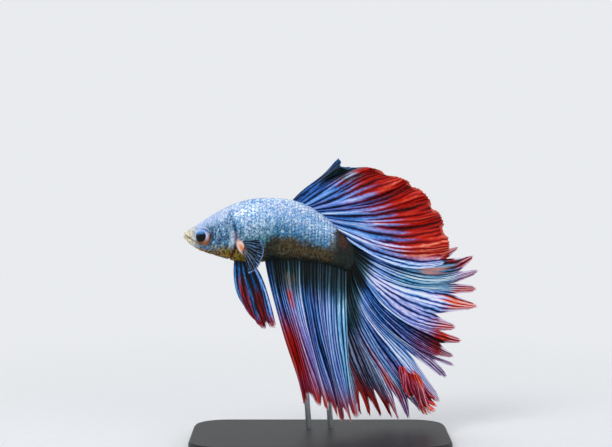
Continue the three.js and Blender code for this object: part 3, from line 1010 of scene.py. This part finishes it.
# %% The eyes' finish
def eye_finish():
    """A black pupil with a painted blue sheen, in a ring that goes from brown to lilac."""
    finish = Finish("wet eye")
    x, y, _ = finish.uv("Iris")
    x = x - PUPIL_AHEAD
    y = y + PUPIL_LOW
    from_middle = (x * x + y * y) ** 0.5
    fibre = finish.noise(finish.place_mm(), 3.0, 3.0) - 0.5
    ring = finish.ramp(
        y * 0.5 + 0.5 - x * 0.2 + fibre * 0.2,
        tints(
            (0.0, "5c2f18"),
            (0.2, "945a32"),
            (0.38, "a88474"),
            (0.6, "c2c6e2"),
            (0.85, "b4c2ea"),
            (1.0, "5f84bc"),
        ),
    )
    warm = from_middle.rise(0.86, 1.02) * (y - x * 0.3).rise(0.9, 0.2)
    ring = finish.mix(warm * 0.85, ring, tint("a4714e"))
    # A painted blue sheen over the upper pupil.
    sheen = (y + x * 0.2).rise(0.02, 0.66) ** 1.6
    pupil = finish.mix(sheen, tint("010204"), tint("5ca4ec"))
    colour = finish.mix(from_middle.rise(0.68, 0.75), pupil, ring)
    colour = finish.mix(from_middle.rise(1.1, 1.2), colour, tint("3a241c"))
    return finish.surface(
        Base_Color=colour,
        Roughness=0.3,
        Specular_IOR_Level=0.08,
        Coat_Weight=0.2,
        Coat_Roughness=0.02,
    )


eye_material = eye_finish()
for node in ("eye_left", "eye_right"):
    ball = make_eye(node)
    ball.data.materials.append(eye_material)
    print(ball.name, "faces:", len(ball.data.polygons))

# %% [markdown]
# ## The fins
# A fin is a web held by bony rays, which branch into two, four and more towards the edge. In
# this breed the web falls short between bundles of rays, so that the edge is combed into
# ribbons. A fin is a fine grid, bent by one formula: each line of the grid runs from the root
# to the outer edge on a curve, the sheet is pleated sideways, the ribbons narrow and sway
# past the ends of the web, and every ray stands up as a ridge. The ray pattern is worked out
# once for the shape and again, in the same words, for the colour.


# %% Curves and places for fins
def through(points, share):
    """A smooth curve through evenly counted points, at shares from 0 to 1."""
    points = np.array(points, float).reshape(len(points), -1)
    last = len(points) - 1
    place = np.clip(share, 0, 1) * last
    i = np.minimum(place.astype(int), last - 1)
    t = (place - i)[..., None]
    before, first = points[np.maximum(i - 1, 0)], points[i]
    second, after = points[i + 1], points[np.minimum(i + 2, last)]
    lean_in, lean_out = (second - before) / 2, (after - first) / 2
    curve = (2 * first - 2 * second + lean_in + lean_out) * t**3
    curve += (3 * second - 3 * first) * t**2 - (2 * lean_in + lean_out) * t**2
    return curve + lean_in * t + first


def on_box(node, shares):
    """Points in the side view, from shares of a solid's box."""
    low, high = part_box(node)
    return [
        (low.x + (high.x - low.x) * right, low.z + (high.z - low.z) * rise)
        for right, rise in shares
    ]


ROOT_SUNK = 0.8 * MM


def along_body(first, last, count, side):
    """Root points sunk a little into the back (side 1) or the belly (side -1)."""
    points = []
    for x in np.linspace(first, last, count):
        _, y, z = middle_at(x)
        far = Vector((x, y, z + side * 20 * MM))
        hit = flesh_tree.ray_cast(far, Vector((0, 0, -side)), 40 * MM)
        points.append((x, hit[0].z - side * ROOT_SUNK))
    return points


print("halfway through 0, 1 and 4:", through([0, 1, 4], np.array([0.5]))[0, 0])


# %% Rays that branch
def branched(ray, along, splits, absolute, rise):
    """How far a point lies from the nearest ray, in shares of the gap between rays.

    ray counts the rays across the fin. At each split a ray parts in two over a stretch of
    its length, so the distance is folded once more."""
    apart = absolute(ray)
    gap = 1.0
    for number, (first, last) in enumerate(splits):
        parted = rise(along, first, last)
        apart = abs(apart - parted * 0.25 * 0.5**number)
        gap = gap * (1.0 - parted * 0.5)
    return apart / gap


def ray_crest(ray, along, splits):
    """1 on a ray and 0 midway between two, for arrays."""
    apart = branched(ray, along, splits, lambda v: np.abs(v - np.floor(v) - 0.5), smooth_rise)
    return 0.5 + 0.5 * np.cos(2 * np.pi * np.minimum(apart, 0.5))


print("on a ray and between two:", ray_crest(np.array([0.5, 1.0]), np.zeros(2), []).round(2))


# %% The fin formula
def ribbon_of(fin, across):
    """Each line's ribbon: its number, its middle, where across it the line lies, and how far
    out on the line the web ends."""
    edges = np.array([0.0] + [place for place, _ in fin["notches"]] + [1.0])
    depths = np.array([0.06] + [depth for _, depth in fin["notches"]] + [0.06])
    number = np.clip(np.searchsorted(edges, across, side="right") - 1, 0, len(edges) - 2)
    middle = (edges[number] + edges[number + 1]) / 2
    share = (across - edges[number]) / (edges[number + 1] - edges[number])
    depth = depths[number] * (1 - share) + depths[number + 1] * share
    return number, middle, share, 1 - depth


def reach_of(fin, across):
    """The share of its length that each line keeps: less in a notch between two ribbons."""
    cut = np.zeros(across.shape)
    for place, depth in fin["notches"]:
        off = np.abs(across - place)
        near = np.clip(1 - off / fin["notch_half"], 0, 1)
        wide = np.clip(1 - off / (3 * fin["notch_half"]), 0, 1)
        cut = np.maximum(cut, depth * (0.8 * near + 0.2 * wide))
    _, _, share, _ = ribbon_of(fin, across)
    return 1 - cut - fin["round"] * (1 - across**3) * np.abs(2 * share - 1) ** 3


def fin_surface(fin, across, along):
    """Points of the fin's sheet, in metres, for arrays of places across and along it.

    With them come the pleats' wave, how far past the web a point is, and where across its
    ribbon it lies."""
    number, middle, share, web_end = ribbon_of(fin, across)
    free = smooth_rise(along, web_end * 0.97, 1.0)
    keep = 1 - fin["narrow"] * free
    narrowed = middle + (across - middle) * keep
    count = number + 0.5 + (share - 0.5) * keep

    outer = (narrowed - fin["inset"]) / (1 - 2 * fin["inset"])
    root = through(fin["root"], narrowed)
    tip = through(fin["edge"], outer)
    start = np.radians(through(fin["start"], narrowed)[..., 0])
    end = np.radians(through(fin["end"], outer)[..., 0])
    end = end + np.radians(fin["sway"]) * np.sin(2.4 * count + 0.8)
    chord = tip - root
    handle = np.linalg.norm(chord, axis=-1)[..., None] * 0.38
    first = root + handle * np.stack([np.cos(start), np.sin(start)], -1)
    second = tip - handle * np.stack([np.cos(end), np.sin(end)], -1)
    s = along[..., None]
    flat = root * (1 - s) ** 3 + first * 3 * s * (1 - s) ** 2
    flat = flat + second * 3 * s**2 * (1 - s) + tip * s**3
    snake = fin["snake"] * along**2 * np.sin(9 * along + 17 * narrowed + count)
    flat = flat + np.stack([-chord[..., 1], chord[..., 0]], -1) * snake[..., None]

    phase = fin["pleats"] * (narrowed + 0.035 * np.sin(9 * narrowed + 1)) + 0.2 * along
    wave = np.sin(2 * np.pi * phase) * 0.8 + 0.3 * np.sin(4 * np.pi * phase + 1)
    sideways = fin["side"](flat[..., 0], root[..., 0], along, narrowed)
    sideways = sideways + fin["pleat_depth"] * along * wave
    sideways = sideways + fin["curl"] * free * np.sin(1.9 * number + 0.4)
    return np.stack([flat[..., 0], sideways, flat[..., 1]], -1), wave, free, share


# %% Make one fin
FIN_WEB = 0.12 * MM


def make_fin(name, fin, mirrored=False):
    """A fin's sheet. Its maps say where a point lies among the rays."""
    columns, rows = fin["grid"]
    bm = bmesh.new()
    bmesh.ops.create_grid(bm, x_segments=columns, y_segments=rows, size=1.0)
    spread = np.array([v.co for v in bm.verts])
    across = (spread[:, 0] + 1) / 2
    raw = (spread[:, 1] + 1) / 2
    uneven = 0.008 * np.sin(across * 37) + 0.004 * np.sin(across * 71 + 2)
    crowd = fin["crowd"] * np.maximum(across - 0.68, 0)
    ray = (across + uneven + crowd) * fin["rays"]
    crest = ray_crest(ray, raw, fin["splits"])
    reach = reach_of(fin, across)
    along = reach * raw * (1 - fin["fray"] * (1 - crest) * raw**6)
    points, wave, free, share = fin_surface(fin, across, along)
    points[:, 1] -= fin["ridge"] * crest * smooth_rise(along, 0.0, 0.15)
    if mirrored:
        middle = middle_at(fin["root"][1][0])[1]
        points[:, 1] = 2 * middle - points[:, 1]
    for vert, point in zip(bm.verts, points):
        vert.co = Vector(point)
    edge = (reach - along) * fin["length"] / MM
    maps = {
        "OFBake": np.stack([0.005 + 0.99 * across, 0.005 + 0.99 * raw], 1),
        "Rays": np.stack([ray, along], 1),
        "Edge": np.stack([edge, across], 1),
        "Fold": np.stack([wave, free], 1),
        "Ribbon": np.stack([share, raw], 1),
    }
    for map_name, values in maps.items():
        layer = bm.loops.layers.uv.new(map_name)
        for face in bm.faces:
            for loop in face.loops:
                loop[layer].uv = values[loop.vert.index]
    made = finish_mesh(name, bm)
    wall = made.modifiers.new("web thickness", "SOLIDIFY")
    wall.thickness = FIN_WEB
    wall.offset = 0
    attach(made, "root")
    return made


print("a fin's web, mm:", FIN_WEB / MM)

# %% [markdown]
# ## Recipes of the fins
# A recipe holds what `fin_surface` needs. Its `root` and `edge` are points of the fin's root
# and outer edge in the side view. Its rays leave the root at the angles of `start` and reach
# the edge at those of `end`, in degrees. `notches` gives where across the fin the web is cut
# between two ribbons, and how deep, and `notch_half` how wide. A free ribbon loses the share
# `narrow` of its width, turns by `sway` degrees and swings sideways by `curl`, and `round`
# takes off its corners. `snake` bends the rays, `pleats` and `pleat_depth` fold the sheet, and
# `side` is its way out of the fish's middle. `rays` and `splits` give the rays and where they
# branch, `crowd` sets them closer low down, `ridge` is their height and `fray` how far the
# web falls back between them. `length` turns shares of the reach into a distance.

# %% The back fin
PLAIN_FIN = {"inset": 0, "round": 0, "crowd": 0.0}


def spine_y(x):
    """How far the body's middle lies to the right at x."""
    return np.polyval(MIDDLE_Y, x)


DORSAL = PLAIN_FIN | {
    "root": along_body(-8.0 * MM, 4.4 * MM, 6, 1),
    "edge": on_box(
        "dorsal_fin",
        [
            (0.283, 0.994), (0.370, 0.915), (0.489, 0.905), (0.630, 0.854), (0.767, 0.750),
            (0.886, 0.601), (0.959, 0.399), (0.990, 0.190), (0.944, 0.030),
        ],
    ),
    "start": [50, 34, 18, 4, -8, -24, -42],
    "end": [52, 20, 16, 22, 20, 12, 10],
    "notches": [(0.06, 0.07), (0.36, 0.05), (0.5, 0.03), (0.64, 0.03), (0.78, 0.03), (0.92, 0.05)],
    "notch_half": 0.02,
    "narrow": 0.2,
    "sway": 4,
    "snake": 0.012,
    "curl": 0.4 * MM,
    "pleats": 6.5,
    "pleat_depth": 1.4 * MM,
    "side": lambda x, root_x, s, u: spine_y(root_x) + 0.24 * (x - root_x),
    "rays": 13,
    "splits": [(0.15, 0.5), (0.65, 0.95)],
    "ridge": 0.2 * MM,
    "fray": 0.008,
    "length": 36 * MM,
    "grid": (360, 90),
}
print("ribbons of the back fin:", len(DORSAL["notches"]) + 1)

# %% The tail
TAIL = {
    "root": on_box(
        "tail_fin",
        [(0.07, 1.04), (0.107, 0.973), (0.113, 0.926), (0.105, 0.88), (0.075, 0.853)],
    ),
    "edge": on_box(
        "tail_fin",
        [
            (0.859, 0.972), (0.975, 0.915), (0.995, 0.815), (0.995, 0.722), (0.998, 0.615),
            (0.836, 0.485), (0.883, 0.430), (0.830, 0.325), (0.822, 0.262), (0.785, 0.210),
            (0.730, 0.065), (0.550, -0.035), (0.435, -0.045), (0.285, -0.03), (0.190, 0.0),
        ],
    ),
    "inset": 1 / 30,
    "round": 0.028,
    "start": [-14, -50, -70, -90, -120],
    "end": [26, 34, 18, 4, -12, -6, -4, -20, -26, -36, -58, -68, -72, -74, -70],
    "notches": [
        ((number + 1) / 15, depth)
        for number, depth in enumerate(
            [0.14, 0.12, 0.17, 0.18, 0.2, 0.12, 0.1, 0.13, 0.12, 0.33, 0.16]
        )
    ]
    + [
        (0.765, 0.1), (0.8, 0.18), (0.83, 0.1), (0.867, 0.2), (0.9, 0.12), (0.933, 0.17),
        (0.967, 0.1),
    ],
    "notch_half": 0.01,
    "narrow": 0.5,
    "sway": 3,
    "snake": 0.014,
    "curl": 1.1 * MM,
    "pleats": 9,
    "pleat_depth": 1.5 * MM,
    "side": lambda x, root_x, s, u: (
        spine_y(root_x)
        + 0.9 * MM * s
        + 0.4 * np.maximum(x - root_x, 0)
        - 1.5 * np.maximum(x - root_x, 0) ** 2
        + 2.4 * MM * s * np.cos(5.6 * u)
    ),
    "rays": 20,
    "crowd": 0.7,
    "splits": [(0.08, 0.35), (0.45, 0.8)],
    "ridge": 0.2 * MM,
    "fray": 0.018,
    "length": 45 * MM,
    "grid": (470, 96),
}
print("ribbons of the tail:", len(TAIL["notches"]) + 1)

# %% The belly fin
MID_BODY_X = -16 * MM
ANAL = PLAIN_FIN | {
    "root": along_body(-15.0 * MM, 7.2 * MM, 7, -1),
    "edge": on_box(
        "anal_fin",
        [
            (0.389, 0.140), (0.514, 0.122), (0.638, 0.104), (0.739, 0.054), (0.833, 0.012),
            (0.922, 0.012), (0.985, 0.054),
        ],
    ),
    "start": [-80, -86, -90, -92, -93, -93, -90],
    "end": [-80, -79, -78, -77, -76, -75, -74],
    "notches": [(0.14, 0.06), (0.3, 0.06), (0.44, 0.05), (0.58, 0.08), (0.72, 0.08), (0.86, 0.1)],
    "notch_half": 0.022,
    "narrow": 0.4,
    "sway": 3,
    "snake": 0.01,
    "curl": 0.5 * MM,
    "pleats": 7,
    "pleat_depth": 1.4 * MM,
    "side": lambda x, root_x, s, u: spine_y(root_x)
    - (1.2 * MM + 0.06 * (root_x - MID_BODY_X)) * s,
    "rays": 27,
    "splits": [(0.6, 0.95)],
    "ridge": 0.2 * MM,
    "fray": 0.03,
    "length": 40 * MM,
    "grid": (360, 110),
}
print("ribbons of the belly fin:", len(ANAL["notches"]) + 1)

# %% [markdown]
# ## The fins' colours
# On a fin the web between two rays is dark and the rays are bright, and streaks run along
# both. So a fin has one number for light, summed from its rays, its pleats and noise that is
# drawn out along them. Part of it is the fin's own colour, and part is painted shade: darker in
# the pleats' valleys and in the deep gaps between bundles of rays. A paint is a ramp from dark
# to bright, looked up by that number, and each fin is painted by laying one paint over another
# where the fish changes colour.

# %% Paints of the fins, from deep between the rays to bright on them
PAINT_PLACES = (0.0, 0.2, 0.42, 0.62, 0.82, 1.0)
PAINTS = {
    "blue": ["020916", "08285a", "2763b4", "5f9be6", "a3c3f6", "e6efff"],
    "violet": ["050a16", "142650", "485cb0", "8290dc", "b4b6f6", "ebe8ff"],
    "teal": ["030f1a", "0b395c", "3079ac", "6cb4de", "aed9f2", "ecfaff"],
    "red": ["2a0305", "68060a", "9e0e0a", "be1c0e", "d43c24", "ec8a70"],
    "wine": ["10050e", "340e2c", "63295c", "9468a6", "bfa8de", "f2e8fc"],
    "ash": ["150a0a", "38201f", "5c5260", "8490ac", "b0bfdc", "e4ecf8"],
    "dark": ["010405", "07161a", "142b33", "264654", "43697c", "83a8bc"],
}
print("paints:", ", ".join(PAINTS))


# %% A finish for fins
class FinPaint:
    """A fin's finish, with the places on the fin that its colours depend on.

    mass and contrast go from the first ray to the last, evenly counted."""

    def __init__(self, name, splits, mass, root_dark=0.0, contrast=(1.0, 1.0), middles=0.0):
        self.finish = finish = Finish(name)
        ray, self.along, _ = finish.uv("Rays")
        self.edge, self.across, _ = finish.uv("Edge")
        wave, self.free, _ = finish.uv("Fold")
        share, _, _ = finish.uv("Ribbon")
        self.side = abs(share - 0.5) * 2.0
        self.crest = self.ridge(ray, splits)
        wander = finish.noise(finish.joined(ray * 0.9, self.along * 7.0), 1.0, 2.0, 0.6) - 0.5
        drawn = self.ridge(ray + wander * 0.3, splits)
        self.band = finish.noise(finish.joined(ray * 0.75, self.along * 1.8), 1.0, 2.0, 0.5)
        self.line = finish.noise(finish.joined(ray * 5.0, self.along * 3.0), 1.0, 3.0, 0.7)
        fleck = finish.noise(finish.joined(ray * 7.0, self.along * 26.0), 1.0, 2.0, 0.6)
        self.hue = finish.noise(finish.joined(ray * 0.5 + 9.0, self.along * 2.2), 1.0, 2.0, 0.6)
        drawing = (drawn - 0.5) * 0.55 + (self.line - 0.5) * 1.3
        # Painted shade in the deep gaps between bundles of rays.
        drawing = drawing + (fleck - 0.5) * 0.55 - (1 - drawn) ** 6 * 0.3
        light = self.spread(mass) * 0.7 + drawing * self.spread(contrast)
        # Painted shade in the pleats' valleys, by the wave.
        light = light + (self.band - 0.5) * 0.7 - wave * 0.11
        light = light + (0.5 - self.side) * middles * self.along.rise(0.1, 0.4)
        self.light = light - self.along.rise(0.25, 0.0) * root_dark
        self.colour = self.paint("blue")
        self.lay(self.hue.rise(0.46, 0.62) * 0.85, "violet")

    def spread(self, values):
        """Numbers set evenly across the fin, and blended between."""
        last = len(values) - 1
        stops = levels(*((number / last, value) for number, value in enumerate(values)))
        return self.finish.ramp(self.across, stops)

    def ridge(self, ray, splits):
        """1 on a ray and 0 midway between two."""
        apart = branched(
            ray, self.along, splits, lambda value: abs(value.fraction() - 0.5), Value.rise
        )
        return (apart * (2 * math.pi)).cosine() * 0.5 + 0.5

    def paint(self, name):
        """One of the PAINTS, from its dark end to its bright one by the fin's light."""
        return self.finish.ramp(self.light, tints(*zip(PAINT_PLACES, PAINTS[name])))

    def lay(self, share, name):
        """That share of a paint, over what the fin has."""
        self.cover(share, self.paint(name))

    def cover(self, share, colour):
        """That share of a colour, over what the fin has."""
        self.colour = self.finish.mix(share, self.colour, colour)

    def material(self, rim=tint("e6e0f8"), thread=0.3, veins=0.0, **inputs):
        """Ends the finish. rim colours the ribbons' edges and, by veins, their rays.

        The web stops between the rays close to its edge, the closer the higher thread is."""
        sides = self.free.rise(0.05, 0.3) * self.side.rise(0.5, 0.74)
        rims = self.edge.rise(0.55, 0.25) * 0.8 + sides
        rims = rims + self.free.rise(0.1, 0.5) * self.crest.rise(0.72, 0.95) * veins
        colour = self.finish.mix(rims * 0.85, self.colour, rim)
        threads = (self.crest + self.edge * thread).rise(0.42, 0.5)
        return self.finish.surface(
            Base_Color=colour,
            Roughness=0.55 - self.crest * 0.15,
            Specular_IOR_Level=0.12,
            **({"Alpha": threads} | inputs),
        )


# %% Paint the back fin
def dorsal_paint():
    """Blue at the root and the front edge, red in the outer half, a dark front corner."""
    mass = [0.3, 0.4, 0.5, 0.55, 0.55, 0.7, 0.5, 0.7, 0.6, 0.8, 0.75, 0.85, 1.0]
    fin = FinPaint("back fin", DORSAL["splits"], mass, contrast=[0.66, 0.66, 0.7, 0.75, 1.1])
    u, s = fin.across, fin.along
    early = (1 - fin.crest) * 0.2 + (fin.line - 0.5) * 0.4 + (fin.band - 0.5) * 0.3
    outer = (s + early).rise(0.62, 0.74) * u.rise(0.12, 0.24) * u.rise(0.94, 0.88)
    flush = (s + early * 1.5).rise(0.38, 0.6) * u.rise(0.22, 0.42) * u.rise(0.95, 0.88)
    fin.lay(flush * 0.6, "wine")
    fin.lay(outer, "red")
    corner = u.rise(0.26, 0.14) * s.rise(0.36, 0.64) * (u.rise(0.0, 0.06) * 0.7 + 0.3)
    fin.lay(corner, "dark")
    grey = u.rise(0.16, 0.22) * u.rise(0.34, 0.27) * s.rise(0.55, 0.66) * s.rise(0.86, 0.76)
    fin.lay(grey, "ash")
    rim = fin.finish.mix(u.rise(0.2, 0.28) * u.rise(0.94, 0.9), tint("5478a8"), tint("c85a48"))
    return fin.material(rim, thread=1.6)


# %% Paint the tail
def tail_paint():
    """Pale blue ribbons out of a root darkened by painted shade, red where they end, ash and dark
    low down.
    """
    mass = [0.9, 0.78, 0.6, 0.7, 1.0, 0.92, 0.8, 0.35, 0.32, 0.7, 0.74, 0.66, 0.5, 0.4, 0.4, 0.35]
    contrast = [1.1, 1.05, 1.05, 1.25]
    # root_dark here is painted shade at the tail's root.
    fin = FinPaint("tail fin", TAIL["splits"], mass, 0.75, contrast, 0.3)
    u, s = fin.across, fin.along
    loose = (fin.line - 0.5) * 0.4 + (1 - fin.crest) * 0.1
    fin.lay(u.rise(0.04, 0.1) * u.rise(0.3, 0.22) * s.rise(0.3, 0.5), "teal")
    fin.lay(u.rise(0.72, 0.84) * (s + loose).rise(0.3, 0.55) * 0.75, "ash")
    # Painted shade over the tail's root, in these two dark lays.
    shade = (s + loose * 0.4 - u.rise(0.62, 0.85) * 0.24).rise(0.26, 0.12) * u.rise(0.2, 0.42)
    fin.lay(shade, "dark")
    fin.lay(s.rise(0.26, 0.14) * u.rise(0.06, 0.16), "dark")
    low = u.rise(0.72, 0.8) * (s + loose).rise(0.45, 0.75)
    fin.lay(low * fin.hue.rise(0.5, 0.6) * 0.85, "red")
    middle = u.rise(0.38, 0.48) * u.rise(0.68, 0.62) * (s + loose).rise(0.62, 0.82)
    fin.lay(middle, "wine")
    fin.lay(fin.line.rise(0.58, 0.66) * u.rise(0.42, 0.3) * s.rise(0.3, 0.55) * 0.6, "wine")
    peach = abs(u - 0.115).rise(0.026, 0.01) * s.rise(0.52, 0.64) * s.rise(0.9, 0.8)
    fin.cover(peach * fin.line.rise(0.36, 0.56), tint("e4a496"))
    redness = fin.spread([1, 1, 0.3, 0.5, 1, 0.5, 1, 0.6, 0.3, 0, 0, 0.2, 0.8, 0.9, 0.9])
    reach = s + loose * 0.5 + redness * 0.18
    fin.lay(reach.rise(0.86, 0.96) * (1 - redness).rise(0.2, 0.6), "wine")
    fin.lay(reach.rise(0.93, 1.03) * redness.rise(0.2, 0.6), "red")
    return fin.material(thread=0.9, veins=u.rise(0.78, 0.66) * 0.6)


# %% Paint the belly fin
def anal_paint():
    """Dark under the belly, then violet and teal, with a red front edge and red ends."""
    mass = [0.5, 0.4, 0.5, 0.65, 0.85, 0.8, 0.45, 0.4, 0.7, 0.85, 0.75, 0.65, 0.7]
    fin = FinPaint("belly fin", ANAL["splits"], mass, root_dark=0.3)
    u, s = fin.across, fin.along
    loose = (fin.line - 0.5) * 0.4 + (1 - fin.crest) * 0.12
    fin.lay(u.rise(0.2, 0.3) * u.rise(0.55, 0.45) * s.rise(0.3, 0.5), "violet")
    fin.lay(u.rise(0.8, 0.95), "teal")
    fin.lay((s + loose * 0.5).rise(0.32, 0.14) * (u + loose * 0.3).rise(0.02, 0.12), "dark")
    beige = u.rise(0.16, 0.24) * u.rise(0.44, 0.32) * s.rise(0.07, 0.13) * s.rise(0.32, 0.2)
    fin.cover(beige * fin.line.rise(0.5, 0.6) * 0.7, tint("8c7a5e"))
    rust = abs(u - 0.26).rise(0.07, 0.03) * abs(s - 0.27).rise(0.09, 0.04)
    fin.lay(rust * fin.line.rise(0.42, 0.55), "red")
    fin.lay(u.rise(0.34, 0.24) * (s + loose).rise(0.3, 0.48), "wine")
    fin.lay(u.rise(0.26, 0.12) * (s + loose).rise(0.42, 0.6), "red")
    tips = (s + loose + u * 0.05).rise(0.8, 1.0) * u.rise(1.1, 0.9)
    fin.lay(tips, "wine")
    fin.lay(tips * (s + loose - u * 0.04).rise(0.82, 0.96), "red")
    return fin.material()


# %% Set the great fins
for node, fin, paint in (
    ("dorsal_fin", DORSAL, dorsal_paint),
    ("tail_fin", TAIL, tail_paint),
    ("anal_fin", ANAL, anal_paint),
):
    web = make_fin(node + "_web", fin)
    web.data.materials.append(paint())
    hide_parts(node)
    print(web.name, "triangles:", 4 * len(web.data.polygons))

# %% [markdown]
# ## The turned-over lobe
# Low in the tail one corner is folded over towards the viewer and shows its red side. It is
# a small fin of its own, made by the same formula and hung just in front of the tail.

# %% The turned-over lobe
FOLD = PLAIN_FIN | {
    "root": on_box("tail_fin", [(0.418, 0.375), (0.47, 0.315), (0.55, 0.25)]),
    "edge": on_box("tail_fin", [(0.46, 0.17), (0.575, 0.04), (0.67, -0.015), (0.705, 0.1)]),
    "start": [-62, -48, -30],
    "end": [-80, -55, -20],
    "notches": [(0.3, 0.16), (0.66, 0.2)],
    "notch_half": 0.06,
    "narrow": 0.3,
    "sway": 12,
    "snake": 0.03,
    "curl": 0.8 * MM,
    "pleats": 3.2,
    "pleat_depth": 0.9 * MM,
    "side": lambda x, root_x, s, u: 9.8 * MM - 1.4 * MM * s,
    "rays": 6,
    "splits": [(0.2, 0.6)],
    "ridge": 0.16 * MM,
    "fray": 0.04,
    "length": 9 * MM,
    "grid": (120, 40),
}


def fold_paint():
    """Red all over, with a wine tinge in the middle."""
    fin = FinPaint("turned lobe", FOLD["splits"], [0.7, 0.5, 0.6, 0.9, 0.75])
    fin.lay(1.0, "red")
    fin.lay(fin.along.rise(0.3, 0.5) * fin.along.rise(0.95, 0.7) * 0.3, "wine")
    return fin.material(tint("f0b4c4"))


fold = make_fin("tail_fold", FOLD)
fold.data.materials.append(fold_paint())
print(fold.name, "triangles:", 4 * len(fold.data.polygons))

# %% [markdown]
# ## The paired fins
# The two pelvic fins hang under the throat like folded ribbons: blue rays with a dark red
# web between them. The breast fins are clear as glass but for their rays, and each grows
# from a fleshy lobe behind the gill cover.

# %% The pelvic fins
PELVIC = PLAIN_FIN | {
    "root": on_box("pelvic_fin_left", [(0.01, 1.045), (0.18, 1.035), (0.345, 1.035)]),
    "edge": on_box("pelvic_fin_left", [(0.474, 0.191), (0.664, 0.012), (0.985, 0.034)]),
    "start": [-97, -78, -45],
    "end": [-44, -59, -77],
    "notches": [(0.42, 0.05), (0.72, 0.09)],
    "notch_half": 0.05,
    "narrow": 0.3,
    "sway": 6,
    "snake": 0.01,
    "curl": 0.4 * MM,
    "pleats": 1.5,
    "pleat_depth": 0.45 * MM,
    "side": lambda x, root_x, s, u: spine_y(root_x) - 1.1 * MM - 1.5 * MM * s,
    "rays": 5,
    "splits": [(0.2, 0.6), (0.6, 0.95)],
    "ridge": 0.16 * MM,
    "fray": 0.03,
    "length": 20 * MM,
    "grid": (110, 70),
}
print("ribbons of a pelvic fin:", len(PELVIC["notches"]) + 1)

# %% The breast fins
PECTORAL = PLAIN_FIN | {
    "root": on_box("pectoral_fin_left", [(-0.06, 0.91), (0.01, 0.755), (-0.01, 0.6)]),
    "edge": on_box(
        "pectoral_fin_left",
        [(0.833, 0.985), (0.97, 0.723), (0.883, 0.404), (0.617, 0.149), (0.267, 0.02)],
    ),
    "start": [18, 2, -18, -40, -62],
    "end": [4, -10, -28, -52, -78],
    "notches": [(0.5, 0.04)],
    "notch_half": 0.06,
    "narrow": 0.1,
    "sway": 2,
    "snake": 0.01,
    "curl": 0.1 * MM,
    "pleats": 2,
    "pleat_depth": 0.25 * MM,
    "side": lambda x, root_x, s, u: spine_y(root_x) - 4.1 * MM - 3.9 * MM * s,
    "rays": 8,
    "splits": [(0.45, 0.8)],
    "ridge": 0.07 * MM,
    "fray": 0.02,
    "length": 8 * MM,
    "grid": (120, 40),
}
print("rays of a breast fin:", PECTORAL["rays"])


# %% Paint and set the paired fins
def pelvic_paint():
    """Azure rays, two dark red stretches of web between them, and red ends."""
    fin = FinPaint("pelvic fin", PELVIC["splits"], [0.7, 0.4, 0.05, 0.15, 0.75])
    u, s = fin.across, fin.along
    loose = (fin.line - 0.5) * 0.5 + (1 - fin.crest) * 0.15
    azure = fin.finish.ramp(fin.light, tints((0.1, "04121f"), (0.45, "0e5a9c"), (0.9, "7cc0f8")))
    fin.cover(u.rise(0.98, 0.6) * 0.8, azure)
    fin.cover(s.rise(0.13, 0.05) * 0.8, tint("070d12"))
    front = u.rise(0.2, 0.3) * u.rise(0.52, 0.42) * (s + loose).rise(0.24, 0.4)
    rear = u.rise(0.55, 0.64) * u.rise(0.86, 0.76) * (s + loose).rise(0.4, 0.55)
    fin.lay((front + rear) * 0.95, "red")
    fin.cover((front + rear) * s.rise(0.9, 0.7) * 0.4, tint("2c0606"))
    fin.lay((s + loose).rise(0.84, 0.96), "red")
    fin.lay(u.rise(0.2, 0.02) * s.rise(0.55, 0.8), "red")
    return fin.material()


def pectoral_paint():
    """Dark rays in a web that is nearly clear at its root."""
    fin = FinPaint("breast fin", PECTORAL["splits"], [0.5, 0.5])
    ray = fin.crest.rise(0.3, 0.6)
    dark = fin.finish.mix(fin.line.rise(0.5, 0.7), tint("03060c"), tint("10243e"))
    clear = fin.finish.mix(fin.line.rise(0.4, 0.6), tint("1c3250"), tint("6a94c8"))
    fin.colour = fin.finish.mix(ray, clear, dark)
    outer = fin.along.rise(0.3, 0.8)
    veil = ray * 0.4 + outer * 0.3 + 0.3
    return fin.material(tint("6c8cba"), Alpha=veil)


for name, fin, paint, slot in (
    ("pelvic_fin", PELVIC, pelvic_paint(), "fin"),
    ("pectoral_fin", PECTORAL, pectoral_paint(), "clear_fin"),
):
    for side in ("left", "right"):
        web = make_fin(f"{name}_{side}_web", fin, side == "right")
        web.data.materials.append(paint)
        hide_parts(f"{name}_{side}")
        print(web.name, "triangles:", 4 * len(web.data.polygons))

# %% [markdown]
# ## The stand
# Two thin steel rods hold the fish above a plain black plate. Both are as the solids have
# them, so they only need their finish: brushed steel, and a satin lacquer with a fine grain.


# %% Steel and lacquer
def steel_finish():
    """Steel with brush marks that run up the rod."""
    finish = Finish("brushed steel")
    x, y, z = finish.parts(finish.place_mm())
    brush = finish.noise(finish.joined(x * 8, y * 8, z * 0.4), 1.0, 3.0)
    return finish.surface(
        Base_Color=tint("b9bdc2"),
        Metallic=1.0,
        Roughness=brush * 0.2 + 0.22,
    )


def lacquer_finish():
    """A black satin coat over a faint grain."""
    finish = Finish("black lacquer")
    grain = finish.noise(finish.place_mm(), 2.5, 3.0)
    return finish.surface(
        Base_Color=tint("121315"),
        Roughness=grain * 0.12 + 0.42,
        Specular_IOR_Level=0.3,
        Normal=finish.bump(grain, 0.2, 0.02 * MM),
    )


steel = steel_finish()
for node, material in (
    ("stand_rod_front", steel),
    ("stand_rod_rear", steel),
    ("stand_base", lacquer_finish()),
):
    for place in frame["nodes"][node].material_slots:
        place.material = material
    print(node, "is in", material.name)

# %% [markdown]
# ## The finished size
# The dressed fish's box is printed, as the solids' box was at the start. The dressed
# fish has to fill the solids' box.

# %% Keep the sizes and close
new_box = [list(corner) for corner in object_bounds()]
print("dressed box, mm:", [[round(v / MM, 1) for v in corner] for corner in new_box])
